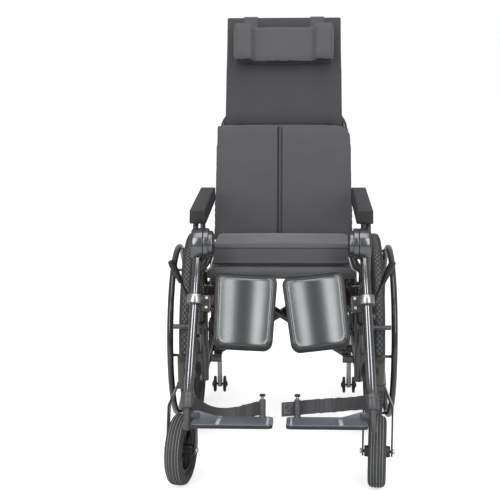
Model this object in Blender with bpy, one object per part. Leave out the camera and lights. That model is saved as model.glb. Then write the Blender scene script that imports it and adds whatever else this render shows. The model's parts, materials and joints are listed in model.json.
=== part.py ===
"""A folding wheelchair with a reclining back, raising legrests and a headrest.

Metres, +Z up. The chair faces -Y, so the sitter's left is at +X. Places are written from a point on the
floor under the rear axle, and one empty then moves the whole chair so that its box is centred.
"""

import math

import bmesh
import bpy
from mathutils import Matrix, Vector

# Rear wheels
TYRE_DIAMETER = 0.610
TYRE_WIDTH = 0.037
TYRE_DEPTH = 0.036
RIM_WALL = 0.020
RIM_WIDTH = 0.028
TRACK_HALF = 0.280
HUB_RADIUS = 0.027
HUB_LENGTH = 0.064
SPOKE_COUNT = 6
SPOKE_WIDTH = 0.034
SPOKE_THICKNESS = 0.014
AXLE_RADIUS = 0.006
HANDRIM_STEP_IN = 0.036
HANDRIM_TUBE = 0.019
HANDRIM_OFFSET = 0.047
STANDOFF_RADIUS = 0.004
STANDOFF_COUNT = 6

# Casters
CASTER_DIAMETER = 0.200
CASTER_WIDTH = 0.050
CASTER_TYRE_DEPTH = 0.034
CASTER_GROOVE_DEPTH = 0.003
CASTER_STEM_X = 0.270
CASTER_STEM_Y = -0.432
CASTER_TRAIL = 0.040
CASTER_TURN_LEFT = math.radians(-4.5)
CASTER_TURN_RIGHT = math.radians(-10.0)
FORK_GAP = 0.075
FORK_LEG_THICKNESS = 0.005
FORK_LEG_DEPTH = 0.020
FORK_SHOULDER_HEIGHT = 0.215
STEM_HOUSING_RADIUS = 0.0175
STEM_HOUSING_BOTTOM = 0.283
STEM_HOUSING_LENGTH = 0.077
STEM_RADIUS = 0.008
CASTER_AXLE_RADIUS = 0.004

# Side frames
FRAME_X = 0.217
FRAME_TUBE_RADIUS = 0.0125
RAIL_RADIUS = 0.0115
FRONT_TUBE_Y = -0.375
FRONT_TUBE_BOTTOM = 0.270
FRONT_TUBE_TOP = 0.545
REAR_TUBE_Y = 0.020
REAR_TUBE_TOP = 0.552
LOWER_RAIL_Z = 0.295
UPPER_RAIL_Z = 0.470
LUG_WALL = 0.005
AXLE_PLATE_SIZE = 0.060
AXLE_PLATE_OUT = 0.016

# Cross brace and seat rails
BRACE_PIVOT_X = 0.190
BRACE_Y = -0.200
BRACE_SPREAD = 0.028
BRACE_RADIUS = 0.011
BRACE_BARREL_LENGTH = 0.050
PIVOT_BAR_RADIUS = 0.008
PIVOT_BAR_LENGTH = 0.100
BRACE_PIN_RADIUS = 0.004
SEAT_RAIL_X = 0.182
SEAT_RAIL_Z = 0.530
SEAT_RAIL_RADIUS = 0.011
SEAT_RAIL_FRONT_Y = -0.360
SEAT_RAIL_REAR_Y = -0.045
SEAT_SLOPE = math.radians(6.4)
SADDLE_LENGTH = 0.020

# Seat
SLING_WIDTH = 0.425
SLING_FRONT_Y = -0.390
SLING_REAR_Y = -0.012
SLING_THICKNESS = 0.036
SLING_CROWN = 0.004
SLING_PULL = 0.004
SEAT_CORNER = 0.030
CUSHION_WIDTH = 0.405
CUSHION_FRONT_Y = -0.362
CUSHION_REAR_Y = -0.026
CUSHION_THICKNESS = 0.054
CUSHION_CROWN = 0.008
CUSHION_PULL = 0.003

# Back
RECLINE = math.radians(15.0)
PIVOT_Z = 0.535
BACK_POST_X = 0.190
BACK_POST_RADIUS = 0.011
BACK_POST_TOP = 0.400
BACK_POST_TAIL = 0.020
RECLINE_PIN_RADIUS = 0.005
BACK_PAD_BOTTOM = 0.045
BACK_PAD_TOP = 0.411
BACK_PAD_THICKNESS = 0.030
BACK_PAD_WIDTH_MIDDLE = 0.435
BACK_PAD_WIDTH_ENDS = 0.409
BACK_SEAM_SPACING = 0.012
HEAD_POST_X = 0.160
HEAD_POST_RADIUS = 0.008
HEAD_POST_SOCKET = 0.065
HEAD_POST_JOG = 0.045
HEAD_PANEL_TOP = 0.744
HEAD_PANEL_THICKNESS = 0.024
HEAD_PANEL_WIDTH_BOTTOM = 0.361
HEAD_PANEL_WIDTH_TOP = 0.350
PILLOW_WIDTH = 0.306
PILLOW_HEIGHT = 0.118
PILLOW_DEPTH = 0.060
PILLOW_BOTTOM = 0.602
PILLOW_DISH = 0.016
PILLOW_BULGE = 0.004
PILLOW_CORNER = 0.050

# Push handles and the recline release
HANDLE_UP = 0.375
HANDLE_LENGTH = 0.125
HANDLE_RADIUS = 0.010
GRIP_RADIUS = 0.016
GRIP_LENGTH = 0.105
LEVER_LENGTH = 0.090
LEVER_DROP = 0.032
LEVER_RADIUS = 0.0045
LEVER_PIN_RADIUS = 0.003

# Recline cylinders
CYLINDER_X = 0.181
CYLINDER_RADIUS = 0.011
CYLINDER_LENGTH = 0.140
ROD_RADIUS = 0.005
ROD_LENGTH = 0.170
LINK_REACH = 0.060
LINK_ANGLE = math.radians(50.0)
LINK_WIDTH = 0.020
LINK_THICKNESS = 0.005
TONGUE_THICKNESS = 0.006

# Armrests
ARM_X = 0.2425
ARM_TUBE_RADIUS = 0.008
ARM_FRONT_Y = -0.300
ARM_REAR_Y = -0.060
ARM_TUBE_Z = 0.705
ARM_BEND = 0.030
ARM_SOCKET_BOTTOM = 0.455
ARM_SOCKET_TOP = 0.515
ARM_SOCKET_WALL = 0.0045
ARM_PAD_X = 0.228
ARM_PAD_WIDTH = 0.047
ARM_PAD_FRONT_Y = -0.385
ARM_PAD_REAR_Y = -0.024
ARM_PAD_BOTTOM = 0.722
ARM_PAD_HEIGHT = 0.040
ARM_SEAT_LENGTH = 0.030

# Legrests
SWING_X = 0.225
SWING_Y = -0.405
SWING_POST_RADIUS = 0.009
SWING_POST_BOTTOM = 0.415
SWING_POST_TOP = 0.585
SWING_LUG_HEIGHT = 0.016
SWING_LUG_LOW_Z = 0.440
SWING_LUG_HIGH_Z = 0.528
KNUCKLE_Y = -0.417
KNUCKLE_Z = 0.6745
KNUCKLE_RADIUS = 0.0425
KNUCKLE_INNER_X = 0.181
KNUCKLE_SPLIT_X = 0.210
KNUCKLE_OUTER_X = 0.243
KNUCKLE_PIN_RADIUS = 0.008
LEG_X = 0.224
LEG_RAKE = math.radians(28.0)
LEG_SPLAY = math.radians(2.5)
LEG_TUBE_RADIUS = 0.0125
LEG_TUBE_LENGTH = 0.412
LEG_BORE_LENGTH = 0.190
CLAMP_RADIUS = 0.0175
CLAMP_LENGTH = 0.040

# Calf pads
BRACKET_DOWN = 0.156
BRACKET_HEIGHT = 0.028
BRACKET_RADIUS = 0.021
CALF_ARM_RADIUS = 0.006
CALF_ROD_RADIUS = 0.005
CALF_ROD_LENGTH = 0.090
CALF_ROD_BACK = 0.070
CALF_PAD_WIDTH = 0.165
CALF_PAD_HEIGHT = 0.208
CALF_PAD_THICKNESS = 0.040
CALF_PAD_DISH = 0.014
CALF_PAD_TAPER = 0.012
CALF_PAD_CORNER = 0.050
CALF_PAD_X = 0.0945
CALF_PAD_DOWN = 0.176
CALF_PAD_BACK = 0.052
CALF_EAR_SPACING = 0.060
CALF_EAR_THICKNESS = 0.008
CALF_EAR_WALL = 0.005

# Footrests
FOOT_TUBE_RADIUS = 0.008
FOOT_TUBE_INSERT = 0.125
FOOT_TUBE_BELOW = 0.092
FOOT_HINGE_IN = 0.0244
FOOT_HINGE_BACK = 0.0276
FOOT_HINGE_UP = 0.0321
FOOT_HINGE_PIN = 0.004
FOOT_LUG_WIDTH = 0.014
FOOT_LUG_THICKNESS = 0.006
FOOTPLATE_TIP = math.radians(12.0)
FOOTPLATE_INNER_X = 0.0175
FOOTPLATE_LENGTH = 0.130
FOOTPLATE_THICKNESS = 0.011
FOOTPLATE_DROP = 0.010
FOOTPLATE_AHEAD = 0.0859
FOOTPLATE_CORNER = 0.014
GUSSET_LENGTH = 0.085
GUSSET_THICKNESS = 0.005
STRAP_POST_X = 0.046
STRAP_POST_RADIUS = 0.007
STRAP_POST_HEIGHT = 0.062
STRAP_HEIGHT = 0.038
STRAP_THICKNESS = 0.0025
STRAP_LIFT = 0.004
STRAP_RISE = 0.020
STRAP_END_X = 0.017
STRAP_END_BACK = 0.026
STRAP_BULGE = 0.026

# Brakes
BRAKE_Y = -0.335
BRAKE_LEVER_Z = 0.478
BRAKE_SHOE_PIVOT_Z = 0.446
BRAKE_PIN_RADIUS = 0.004
BRAKE_HUB_RADIUS = 0.009
BRAKE_BLOCK_OUT = 0.250
BRAKE_PIN_END = 0.264
BRAKE_ROD_RADIUS = 0.004
BRAKE_GRIP_RADIUS = 0.0105
BRAKE_GRIP_LENGTH = 0.070
BRAKE_SHOE_Z = 0.404
BRAKE_SHOE_RADIUS = 0.007
BRAKE_SHOE_GAP = 0.006
BRAKE_SHOE_OUT = 0.312

# Anti-tippers
ANTI_TIP_RADIUS = 0.008
ANTI_TIP_SOCKET_Y = 0.170
ANTI_TIP_INSERT = 0.060
ANTI_TIP_POST_Y = 0.212
ANTI_TIP_WHEEL_RADIUS = 0.027
ANTI_TIP_WHEEL_Z = 0.047
ANTI_TIP_WHEEL_WIDTH = 0.010
ANTI_TIP_WHEEL_SPACING = 0.032
ANTI_TIP_AXLE_RADIUS = 0.003

# Fits and facets
SEAT_GAP = 0.0003
RUNNING_GAP = 0.0004
WELD_DISTANCE = 0.00002
FLAT_ANGLE = math.radians(0.02)
ROUND_SIDES = 12
KNUCKLE_SIDES = 18
WHEEL_SIDES = 36
CASTER_SIDES = 24
BEND_STEPS = 4
SMOOTH_ANGLE = math.radians(40.0)

# Places worked out from the sizes above
TYRE_RADIUS = TYRE_DIAMETER / 2
FLAT_SHARE = math.cos(math.pi / WHEEL_SIDES)
AXLE_Z = TYRE_RADIUS * FLAT_SHARE
RIM_RADIUS = TYRE_RADIUS - TYRE_DEPTH
HANDRIM_DIAMETER = TYRE_DIAMETER - 2 * HANDRIM_STEP_IN
HANDRIM_RADIUS = (HANDRIM_DIAMETER - HANDRIM_TUBE) / 2
HANDRIM_X = TRACK_HALF + HANDRIM_OFFSET
CASTER_RADIUS = CASTER_DIAMETER / 2
CASTER_AXLE_Z = CASTER_RADIUS * math.cos(math.pi / CASTER_SIDES)
CASTER_RIM_RADIUS = CASTER_RADIUS - CASTER_TYRE_DEPTH
STEM_HOUSING_TOP = STEM_HOUSING_BOTTOM + STEM_HOUSING_LENGTH
PIVOT_Y = REAR_TUBE_Y
SIDES = (("left", 1), ("right", -1))


def leaning(origin, angle, splay=0.0):
    """A frame with x across, y up and leaning back by the angle, and z facing forwards."""
    turn = Matrix.Rotation(splay, 4, "Y") @ Matrix.Rotation(math.pi / 2 - angle, 4, "X")
    return Matrix.Translation(origin) @ turn


BACK = leaning((0, PIVOT_Y, PIVOT_Z), RECLINE)
LEG = leaning((LEG_X, KNUCKLE_Y, KNUCKLE_Z), LEG_RAKE, -LEG_SPLAY)
FOOT_TUBE_END = LEG @ Vector((0, -LEG_TUBE_LENGTH - FOOT_TUBE_BELOW, 0))
FOOT_HINGE = FOOT_TUBE_END + Vector((-FOOT_HINGE_IN, FOOT_HINGE_BACK, FOOT_HINGE_UP))
FOOT = leaning(FOOT_HINGE, FOOTPLATE_TIP)
FOOTPLATE_FRONT_Y = FOOT_HINGE.y - FOOTPLATE_AHEAD * math.cos(FOOTPLATE_TIP)
AXLE_Y = (-FOOTPLATE_FRONT_Y - TYRE_RADIUS) / 2


def seat_rail_height(y):
    """Height of a seat rail's centre line at this place along the chair."""
    return SEAT_RAIL_Z + (BRACE_Y - y) * math.tan(SEAT_SLOPE)


def seat_frame(front_y, height):
    """A frame on the sloping seat: x across, y running back from the front edge, z out of the seat."""
    rail_top = SEAT_RAIL_RADIUS / math.cos(SEAT_SLOPE)
    origin = (0, front_y, seat_rail_height(front_y) + rail_top + height / math.cos(SEAT_SLOPE))
    return leaning(origin, math.pi / 2 + SEAT_SLOPE)


# Stock shapes
def tidy_mesh(bm):
    """Welds stray points and merges faces that lie in one plane, then makes a mesh of it."""
    bmesh.ops.remove_doubles(bm, verts=bm.verts, dist=WELD_DISTANCE)
    bmesh.ops.dissolve_degenerate(bm, dist=WELD_DISTANCE, edges=bm.edges)
    bmesh.ops.dissolve_limit(bm, angle_limit=FLAT_ANGLE, verts=bm.verts, edges=bm.edges)
    mesh = bpy.data.meshes.new("stock")
    bm.to_mesh(mesh)
    bm.free()
    return mesh


def stock_from(bm):
    """Turns a shape's faces outwards and makes an object of it."""
    bmesh.ops.remove_doubles(bm, verts=bm.verts, dist=WELD_DISTANCE)
    bmesh.ops.recalc_face_normals(bm, faces=bm.faces)
    stock = bpy.data.objects.new("stock", tidy_mesh(bm))
    bpy.context.scene.collection.objects.link(stock)
    return stock


def along(start, end):
    """A frame at start whose z points at end."""
    turn = (Vector(end) - Vector(start)).to_track_quat("Z", "Y")
    return Matrix.Translation(start) @ turn.to_matrix().to_4x4()


def bar(start, end, radius, sides=ROUND_SIDES):
    """A straight round bar."""
    length = (Vector(end) - Vector(start)).length
    quarter_step = Matrix.Rotation(math.pi / sides / 2, 4, "Z")
    middle = along(start, end) @ Matrix.Translation((0, 0, length / 2)) @ quarter_step
    bm = bmesh.new()
    bmesh.ops.create_cone(
        bm, cap_ends=True, segments=sides, radius1=radius, radius2=radius, depth=length, matrix=middle
    )
    return stock_from(bm)


def turned(profile, start, end, sides=ROUND_SIDES):
    """Spins (radius, height) points about the line from start to end, with a flat at the bottom."""
    bm = bmesh.new()
    points = [bm.verts.new((radius, 0, height)) for radius, height in profile]
    pairs = list(zip(points, points[1:]))
    if profile[0][0] > 0:
        pairs.append((points[-1], points[0]))
    edges = [bm.edges.new(pair) for pair in pairs]
    bmesh.ops.spin(bm, geom=points + edges, axis=(0, 0, 1), angle=math.tau, steps=sides)
    half_step = Matrix.Rotation(math.pi / sides, 4, "Z")
    bmesh.ops.transform(bm, matrix=along(start, end) @ half_step, verts=bm.verts)
    return stock_from(bm)


def rounded_path(corners, bend):
    """The corner points of a path with each inner corner turned into an arc."""
    corners = [Vector(corner) for corner in corners]
    path = [corners[0]]
    for before, corner, after in zip(corners, corners[1:], corners[2:]):
        reach = min(bend, (corner - before).length / 2, (after - corner).length / 2)
        first = corner + (before - corner).normalized() * reach
        last = corner + (after - corner).normalized() * reach
        for step in range(BEND_STEPS + 1):
            share = step / BEND_STEPS
            path.append(first.lerp(corner, share).lerp(corner.lerp(last, share), share))
    return path + [corners[-1]]


def bent_tube(corners, radius, bend):
    """A round tube bent round the corners of a path."""
    path = rounded_path(corners, bend)
    curve = bpy.data.curves.new("path", "CURVE")
    curve.dimensions = "3D"
    curve.bevel_depth = radius
    curve.bevel_resolution = 2
    curve.use_fill_caps = True
    spline = curve.splines.new("POLY")
    spline.points.add(len(path) - 1)
    for point, place in zip(spline.points, path):
        point.co = (*place, 1)
    guide = bpy.data.objects.new("path", curve)
    bpy.context.scene.collection.objects.link(guide)
    bm = bmesh.new()
    graph = bpy.context.evaluated_depsgraph_get()
    bm.from_mesh(bpy.data.meshes.new_from_object(guide.evaluated_get(graph)))
    bpy.data.objects.remove(guide)
    return stock_from(bm)


def block(low, high, bevel=0.0):
    """A box between two corners, with its edges rounded off by the bevel."""
    low, high = Vector(low), Vector(high)
    size = high - low
    bm = bmesh.new()
    frame = Matrix.Translation((low + high) / 2) @ Matrix.Diagonal((*size, 1))
    bmesh.ops.create_cube(bm, size=1, matrix=frame)
    if bevel:
        bmesh.ops.bevel(bm, geom=bm.edges[:], offset=bevel, segments=2, profile=0.5, affect="EDGES")
    return stock_from(bm)


def plate(outline, thickness, frame):
    """A flat plate: an outline in the frame's x and y, as thick as stated along its z."""
    bm = bmesh.new()
    face = bm.faces.new([bm.verts.new((x, y, -thickness / 2)) for x, y in outline])
    grown = bmesh.ops.extrude_face_region(bm, geom=[face])
    moved = [item for item in grown["geom"] if isinstance(item, bmesh.types.BMVert)]
    bmesh.ops.translate(bm, vec=(0, 0, thickness), verts=moved)
    bmesh.ops.transform(bm, matrix=frame, verts=bm.verts)
    return stock_from(bm)


def rounded_rectangle(low, high, corner):
    """The outline of a rectangle whose corners are arcs."""
    outline = []
    centres = ((high[0], high[1]), (low[0], high[1]), (low[0], low[1]), (high[0], low[1]))
    for quarter, (x, y) in enumerate(centres):
        inner_x = x + (corner if x == low[0] else -corner)
        inner_y = y + (corner if y == low[1] else -corner)
        for step in range(BEND_STEPS + 1):
            angle = math.pi / 2 * (quarter + step / BEND_STEPS)
            outline.append((inner_x + corner * math.cos(angle), inner_y + corner * math.sin(angle)))
    return outline


def even_to_edges(count):
    """Places from -1 to 1 that crowd towards both ends, where a cushion curves most."""
    return [-math.cos(math.pi * step / count) for step in range(count + 1)]


def cushion(frame, width_at, length, edge, crown, pull=0.0, corner=0.02, relief=None, columns=10, rows=8):
    """A padded slab on the frame's x and y: crowned over its z, with drawn-in sides and soft corners.

    width_at gives the full width at a share of the length, edge is the height of its side wall, crown what
    the middle stands above that, and relief(x, y) a further height, such as a seam's channel or a dish.
    """
    bm = bmesh.new()
    across, lengthwise = even_to_edges(columns), even_to_edges(rows)
    grids = []
    for level in (0, 1):
        grid = []
        for v in lengthwise:
            half_width = width_at((v + 1) / 2) / 2 - pull * (1 - v * v)
            row = []
            for u in across:
                cut = abs(u * v) ** 6 * corner * (1 - math.sqrt(0.5))
                x = u * half_width - math.copysign(cut, u) * (abs(u) > 0)
                y = (v + 1) / 2 * length - math.copysign(cut, v) * (abs(v) > 0)
                swell = crown * (1 - u**4) * (1 - v**4)
                z = level * (edge + swell + (relief(x, y) * (1 - u**8) * (1 - v**8) if relief else 0))
                row.append(bm.verts.new((x, y, z)))
            grid.append(row)
        grids.append(grid)
    for grid in grids:
        for low, high in zip(grid, grid[1:]):
            for i in range(columns):
                bm.faces.new((low[i], low[i + 1], high[i + 1], high[i]))
    rims = []
    for grid in grids:
        right = [row[-1] for row in grid[1:]]
        left = [row[0] for row in reversed(grid[1:-1])]
        rims.append(grid[0] + right + grid[-1][-2::-1] + left)
    ends = list(zip(*rims))
    for (low, high), (next_low, next_high) in zip(ends, ends[1:] + ends[:1]):
        bm.faces.new((low, next_low, next_high, high))
    bmesh.ops.transform(bm, matrix=frame, verts=bm.verts)
    return stock_from(bm)


# Joining and naming
def baked(stock):
    """Replaces an object's mesh with what its modifiers make of it."""
    graph = bpy.context.evaluated_depsgraph_get()
    bm = bmesh.new()
    bm.from_mesh(bpy.data.meshes.new_from_object(stock.evaluated_get(graph)))
    stock.modifiers.clear()
    stock.data = tidy_mesh(bm)
    return stock


def combined(first, others, operation):
    for other in others:
        modifier = first.modifiers.new("combine", "BOOLEAN")
        modifier.operation = operation
        modifier.object = other
    baked(first)
    for other in others:
        bpy.data.objects.remove(other)
    return first


def joined(first, *others):
    return combined(first, others, "UNION")


def cut(first, *others):
    return combined(first, others, "DIFFERENCE")


def set_in(frame, stock):
    """Moves a shape from its own frame to the chair's."""
    stock.data.transform(frame)
    return stock


def faceted(stock):
    """Splits a piece's many-sided faces into well-shaped triangles."""
    bm = bmesh.new()
    bm.from_mesh(stock.data)
    wide = [face for face in bm.faces if len(face.verts) > 4]
    bmesh.ops.triangulate(bm, faces=wide, quad_method="BEAUTY", ngon_method="BEAUTY")
    bm.to_mesh(stock.data)
    bm.free()


def mirrored(stock):
    """A copy for the other side of the chair."""
    copy = stock.copy()
    copy.data = stock.data.copy()
    bpy.context.scene.collection.objects.link(copy)
    copy.data.transform(Matrix.Diagonal((-1, 1, 1, 1)))
    copy.data.flip_normals()
    return copy


def finish(name, colour, roughness, metallic=0.0):
    """One finish of the chair."""
    material = bpy.data.materials.new(name)
    material.use_nodes = True
    shader = material.node_tree.nodes["Principled BSDF"]
    shader.inputs["Base Color"].default_value = (*colour, 1)
    shader.inputs["Roughness"].default_value = roughness
    shader.inputs["Metallic"].default_value = metallic
    return material


def node(name, stock, material, pivot=(0, 0, 0)):
    """Names a finished piece and puts its origin on its pivot."""
    faceted(stock)
    stock.name = name
    stock.data.name = name
    stock.data.transform(Matrix.Translation(-Vector(pivot)))
    stock.location = pivot
    stock.parent = chair
    stock.data.materials.clear()
    stock.data.materials.append(material)
    stock.data.shade_smooth()
    stock.data.set_sharp_from_angle(angle=SMOOTH_ANGLE)
    return stock


def pair(name, stock, material, pivot=(0, 0, 0)):
    """A left piece and its mirrored right twin."""
    faceted(stock)
    twin = mirrored(stock)
    node(f"{name}_left", stock, material, pivot)
    node(f"{name}_right", twin, material, (-pivot[0], pivot[1], pivot[2]))


# Side frame
def frame_tubes():
    x = FRAME_X
    front = bar((x, FRONT_TUBE_Y, FRONT_TUBE_BOTTOM), (x, FRONT_TUBE_Y, FRONT_TUBE_TOP), FRAME_TUBE_RADIUS)
    rear = bar((x, REAR_TUBE_Y, FRONT_TUBE_BOTTOM), (x, REAR_TUBE_Y, REAR_TUBE_TOP), FRAME_TUBE_RADIUS)
    lower = bar((x, FRONT_TUBE_Y, LOWER_RAIL_Z), (x, ANTI_TIP_SOCKET_Y, LOWER_RAIL_Z), RAIL_RADIUS)
    upper = bar((x, FRONT_TUBE_Y, UPPER_RAIL_Z), (x, REAR_TUBE_Y, UPPER_RAIL_Z), RAIL_RADIUS)
    return joined(front, rear, lower, upper)


def axle_mount():
    """The plate that holds the rear axle, and the axle stub that the hub turns on."""
    half = AXLE_PLATE_SIZE / 2
    low = (FRAME_X, -half, AXLE_Z - half)
    high = (FRAME_X + AXLE_PLATE_OUT, half, AXLE_Z + half)
    end_x = TRACK_HALF + HUB_LENGTH / 2
    stub = bar((FRAME_X + LUG_WALL, 0, AXLE_Z), (end_x, 0, AXLE_Z), AXLE_RADIUS)
    return joined(block(low, high), stub)


def caster_mount():
    """The upright housing of the caster stem and the web that ties it to the front tube."""
    housing = bar(
        (CASTER_STEM_X, CASTER_STEM_Y, STEM_HOUSING_BOTTOM),
        (CASTER_STEM_X, CASTER_STEM_Y, STEM_HOUSING_TOP),
        STEM_HOUSING_RADIUS,
    )
    start = Vector((FRAME_X, FRONT_TUBE_Y, STEM_HOUSING_BOTTOM))
    reach = Vector((CASTER_STEM_X, CASTER_STEM_Y, STEM_HOUSING_BOTTOM)) - start
    web = block((0, -LUG_WALL, LUG_WALL), (reach.length, LUG_WALL, STEM_HOUSING_LENGTH - LUG_WALL))
    set_in(Matrix.Translation(start) @ reach.to_track_quat("X", "Z").to_matrix().to_4x4(), web)
    return joined(housing, web)


def stem_bore():
    start = (CASTER_STEM_X, CASTER_STEM_Y, STEM_HOUSING_BOTTOM - LUG_WALL)
    end = (CASTER_STEM_X, CASTER_STEM_Y, STEM_HOUSING_TOP - LUG_WALL)
    return bar(start, end, STEM_RADIUS + RUNNING_GAP)


def hanger_lug(z):
    """One of the two lugs in front of the front tube that hold the legrest's swing post."""
    half = SWING_LUG_HEIGHT / 2
    boss = bar((SWING_X, SWING_Y, z - half), (SWING_X, SWING_Y, z + half), SWING_POST_RADIUS + LUG_WALL)
    reach = SWING_POST_RADIUS / 2
    low = (FRAME_X - reach, SWING_Y, z - half + LUG_WALL / 5)
    high = (FRAME_X + SWING_POST_RADIUS, FRONT_TUBE_Y, z + half - LUG_WALL / 5)
    return joined(boss, block(low, high))


def hanger_bore():
    start = (SWING_X, SWING_Y, SWING_LUG_LOW_Z - SWING_LUG_HEIGHT)
    end = (SWING_X, SWING_Y, SWING_LUG_HIGH_Z + SWING_LUG_HEIGHT)
    return bar(start, end, SWING_POST_RADIUS + RUNNING_GAP)


def seat_saddle(y):
    """A block on the upper rail that the seat rail rests on when the chair is open."""
    rear_y = y + SADDLE_LENGTH / 2
    top = seat_rail_height(rear_y) - SEAT_RAIL_RADIUS / math.cos(SEAT_SLOPE) - SEAT_GAP
    low = (SEAT_RAIL_X - SEAT_RAIL_RADIUS, y - SADDLE_LENGTH / 2, UPPER_RAIL_Z - LUG_WALL)
    return block(low, (FRAME_X, rear_y, top))


def brace_pivot():
    """The short bar inboard of the lower rail that a cross brace turns on."""
    half = PIVOT_BAR_LENGTH / 2
    start = (BRACE_PIVOT_X, BRACE_Y - half, LOWER_RAIL_Z)
    pivot = bar(start, (BRACE_PIVOT_X, BRACE_Y + half, LOWER_RAIL_Z), PIVOT_BAR_RADIUS)
    reach = PIVOT_BAR_RADIUS + LUG_WALL
    lugs = []
    for y in (BRACE_Y - half, BRACE_Y + half):
        low = (BRACE_PIVOT_X - reach, y - LUG_WALL, LOWER_RAIL_Z - reach)
        high = (FRAME_X, y + LUG_WALL, LOWER_RAIL_Z + reach - LUG_WALL)
        lugs.append(block(low, high))
    return joined(pivot, *lugs)


def arm_socket(y):
    outer = ARM_TUBE_RADIUS + ARM_SOCKET_WALL
    socket = bar((ARM_X, y, ARM_SOCKET_BOTTOM), (ARM_X, y, ARM_SOCKET_TOP), outer)
    low = (FRAME_X, y - ARM_TUBE_RADIUS, ARM_SOCKET_BOTTOM + LUG_WALL)
    high = (ARM_X, y + ARM_TUBE_RADIUS, UPPER_RAIL_Z + LUG_WALL)
    return joined(socket, block(low, high))


def arm_bore(y):
    start = (ARM_X, y, ARM_SOCKET_BOTTOM + LUG_WALL / 2)
    end = (ARM_X, y, ARM_SOCKET_TOP + LUG_WALL)
    return bar(start, end, ARM_TUBE_RADIUS + RUNNING_GAP)


def recline_pivot():
    """The boss and the pin at the top of the rear tube that the back post turns on."""
    boss_end = BACK_POST_X + BACK_POST_RADIUS + SEAT_GAP
    boss = bar((FRAME_X, PIVOT_Y, PIVOT_Z), (boss_end, PIVOT_Y, PIVOT_Z), RECLINE_PIN_RADIUS + LUG_WALL)
    pin_end = BACK_POST_X - BACK_POST_RADIUS - LUG_WALL
    pin = bar((FRAME_X - LUG_WALL, PIVOT_Y, PIVOT_Z), (pin_end, PIVOT_Y, PIVOT_Z), RECLINE_PIN_RADIUS)
    return joined(boss, pin)


def link_place():
    """Where the recline cylinder's rod meets the back post's link, at rest."""
    reach_back = -LINK_REACH * math.sin(LINK_ANGLE)
    reach_up = LINK_REACH * math.cos(LINK_ANGLE)
    return BACK @ Vector((CYLINDER_X, reach_up, reach_back))


def cylinder_foot():
    """The bracket on the lower rail that the recline cylinder stands on."""
    y = link_place().y
    low = (CYLINDER_X - CYLINDER_RADIUS, y - CYLINDER_RADIUS, LOWER_RAIL_Z - FRAME_TUBE_RADIUS / 2)
    return block(low, (FRAME_X, y + CYLINDER_RADIUS, LOWER_RAIL_Z + FRAME_TUBE_RADIUS + LUG_WALL))


def brake_bracket():
    """The block on the upper rail that carries the brake's two pins."""
    low = (FRAME_X, BRAKE_Y - BRAKE_HUB_RADIUS, BRAKE_SHOE_PIVOT_Z - BRAKE_HUB_RADIUS)
    high = (BRAKE_BLOCK_OUT, BRAKE_Y + BRAKE_HUB_RADIUS, BRAKE_LEVER_Z + BRAKE_HUB_RADIUS)
    pins = []
    for z in (BRAKE_LEVER_Z, BRAKE_SHOE_PIVOT_Z):
        pins.append(bar((FRAME_X + LUG_WALL, BRAKE_Y, z), (BRAKE_PIN_END, BRAKE_Y, z), BRAKE_PIN_RADIUS))
    return joined(block(low, high), *pins)


def anti_tip_bore():
    start = (FRAME_X, ANTI_TIP_SOCKET_Y - ANTI_TIP_INSERT - LUG_WALL, LOWER_RAIL_Z)
    end = (FRAME_X, ANTI_TIP_SOCKET_Y + LUG_WALL, LOWER_RAIL_Z)
    return bar(start, end, ANTI_TIP_RADIUS + RUNNING_GAP)


def side_frame():
    shape = joined(
        frame_tubes(),
        axle_mount(),
        caster_mount(),
        hanger_lug(SWING_LUG_LOW_Z),
        hanger_lug(SWING_LUG_HIGH_Z),
        seat_saddle(SEAT_RAIL_FRONT_Y + 2 * SADDLE_LENGTH),
        seat_saddle(SEAT_RAIL_REAR_Y - 2 * SADDLE_LENGTH),
        brace_pivot(),
        arm_socket(ARM_FRONT_Y),
        arm_socket(ARM_REAR_Y),
        recline_pivot(),
        cylinder_foot(),
        brake_bracket(),
    )
    bores = (stem_bore(), hanger_bore(), arm_bore(ARM_FRONT_Y), arm_bore(ARM_REAR_Y), anti_tip_bore())
    return cut(shape, *bores)


# Cross brace
def brace_arm(y, side):
    """One arm of the cross brace, from the lower pivot on its side to the seat rail on the other."""
    low = Vector((side * BRACE_PIVOT_X, y, LOWER_RAIL_Z))
    high = Vector((-side * SEAT_RAIL_X, y, SEAT_RAIL_Z))
    half = BRACE_BARREL_LENGTH / 2
    barrel = bar(low - Vector((0, half, 0)), low + Vector((0, half, 0)), PIVOT_BAR_RADIUS + LUG_WALL)
    rail = bar(
        (high.x, SEAT_RAIL_FRONT_Y, seat_rail_height(SEAT_RAIL_FRONT_Y)),
        (high.x, SEAT_RAIL_REAR_Y, seat_rail_height(SEAT_RAIL_REAR_Y)),
        SEAT_RAIL_RADIUS,
    )
    bore_half = half + LUG_WALL
    bore = bar(
        low - Vector((0, bore_half, 0)), low + Vector((0, bore_half, 0)), PIVOT_BAR_RADIUS + RUNNING_GAP
    )
    return cut(joined(bar(low, high, BRACE_RADIUS), barrel, rail), bore)


def brace_centre_z():
    rise = (SEAT_RAIL_Z - LOWER_RAIL_Z) / (BRACE_PIVOT_X + SEAT_RAIL_X)
    return LOWER_RAIL_Z + rise * BRACE_PIVOT_X


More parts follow.
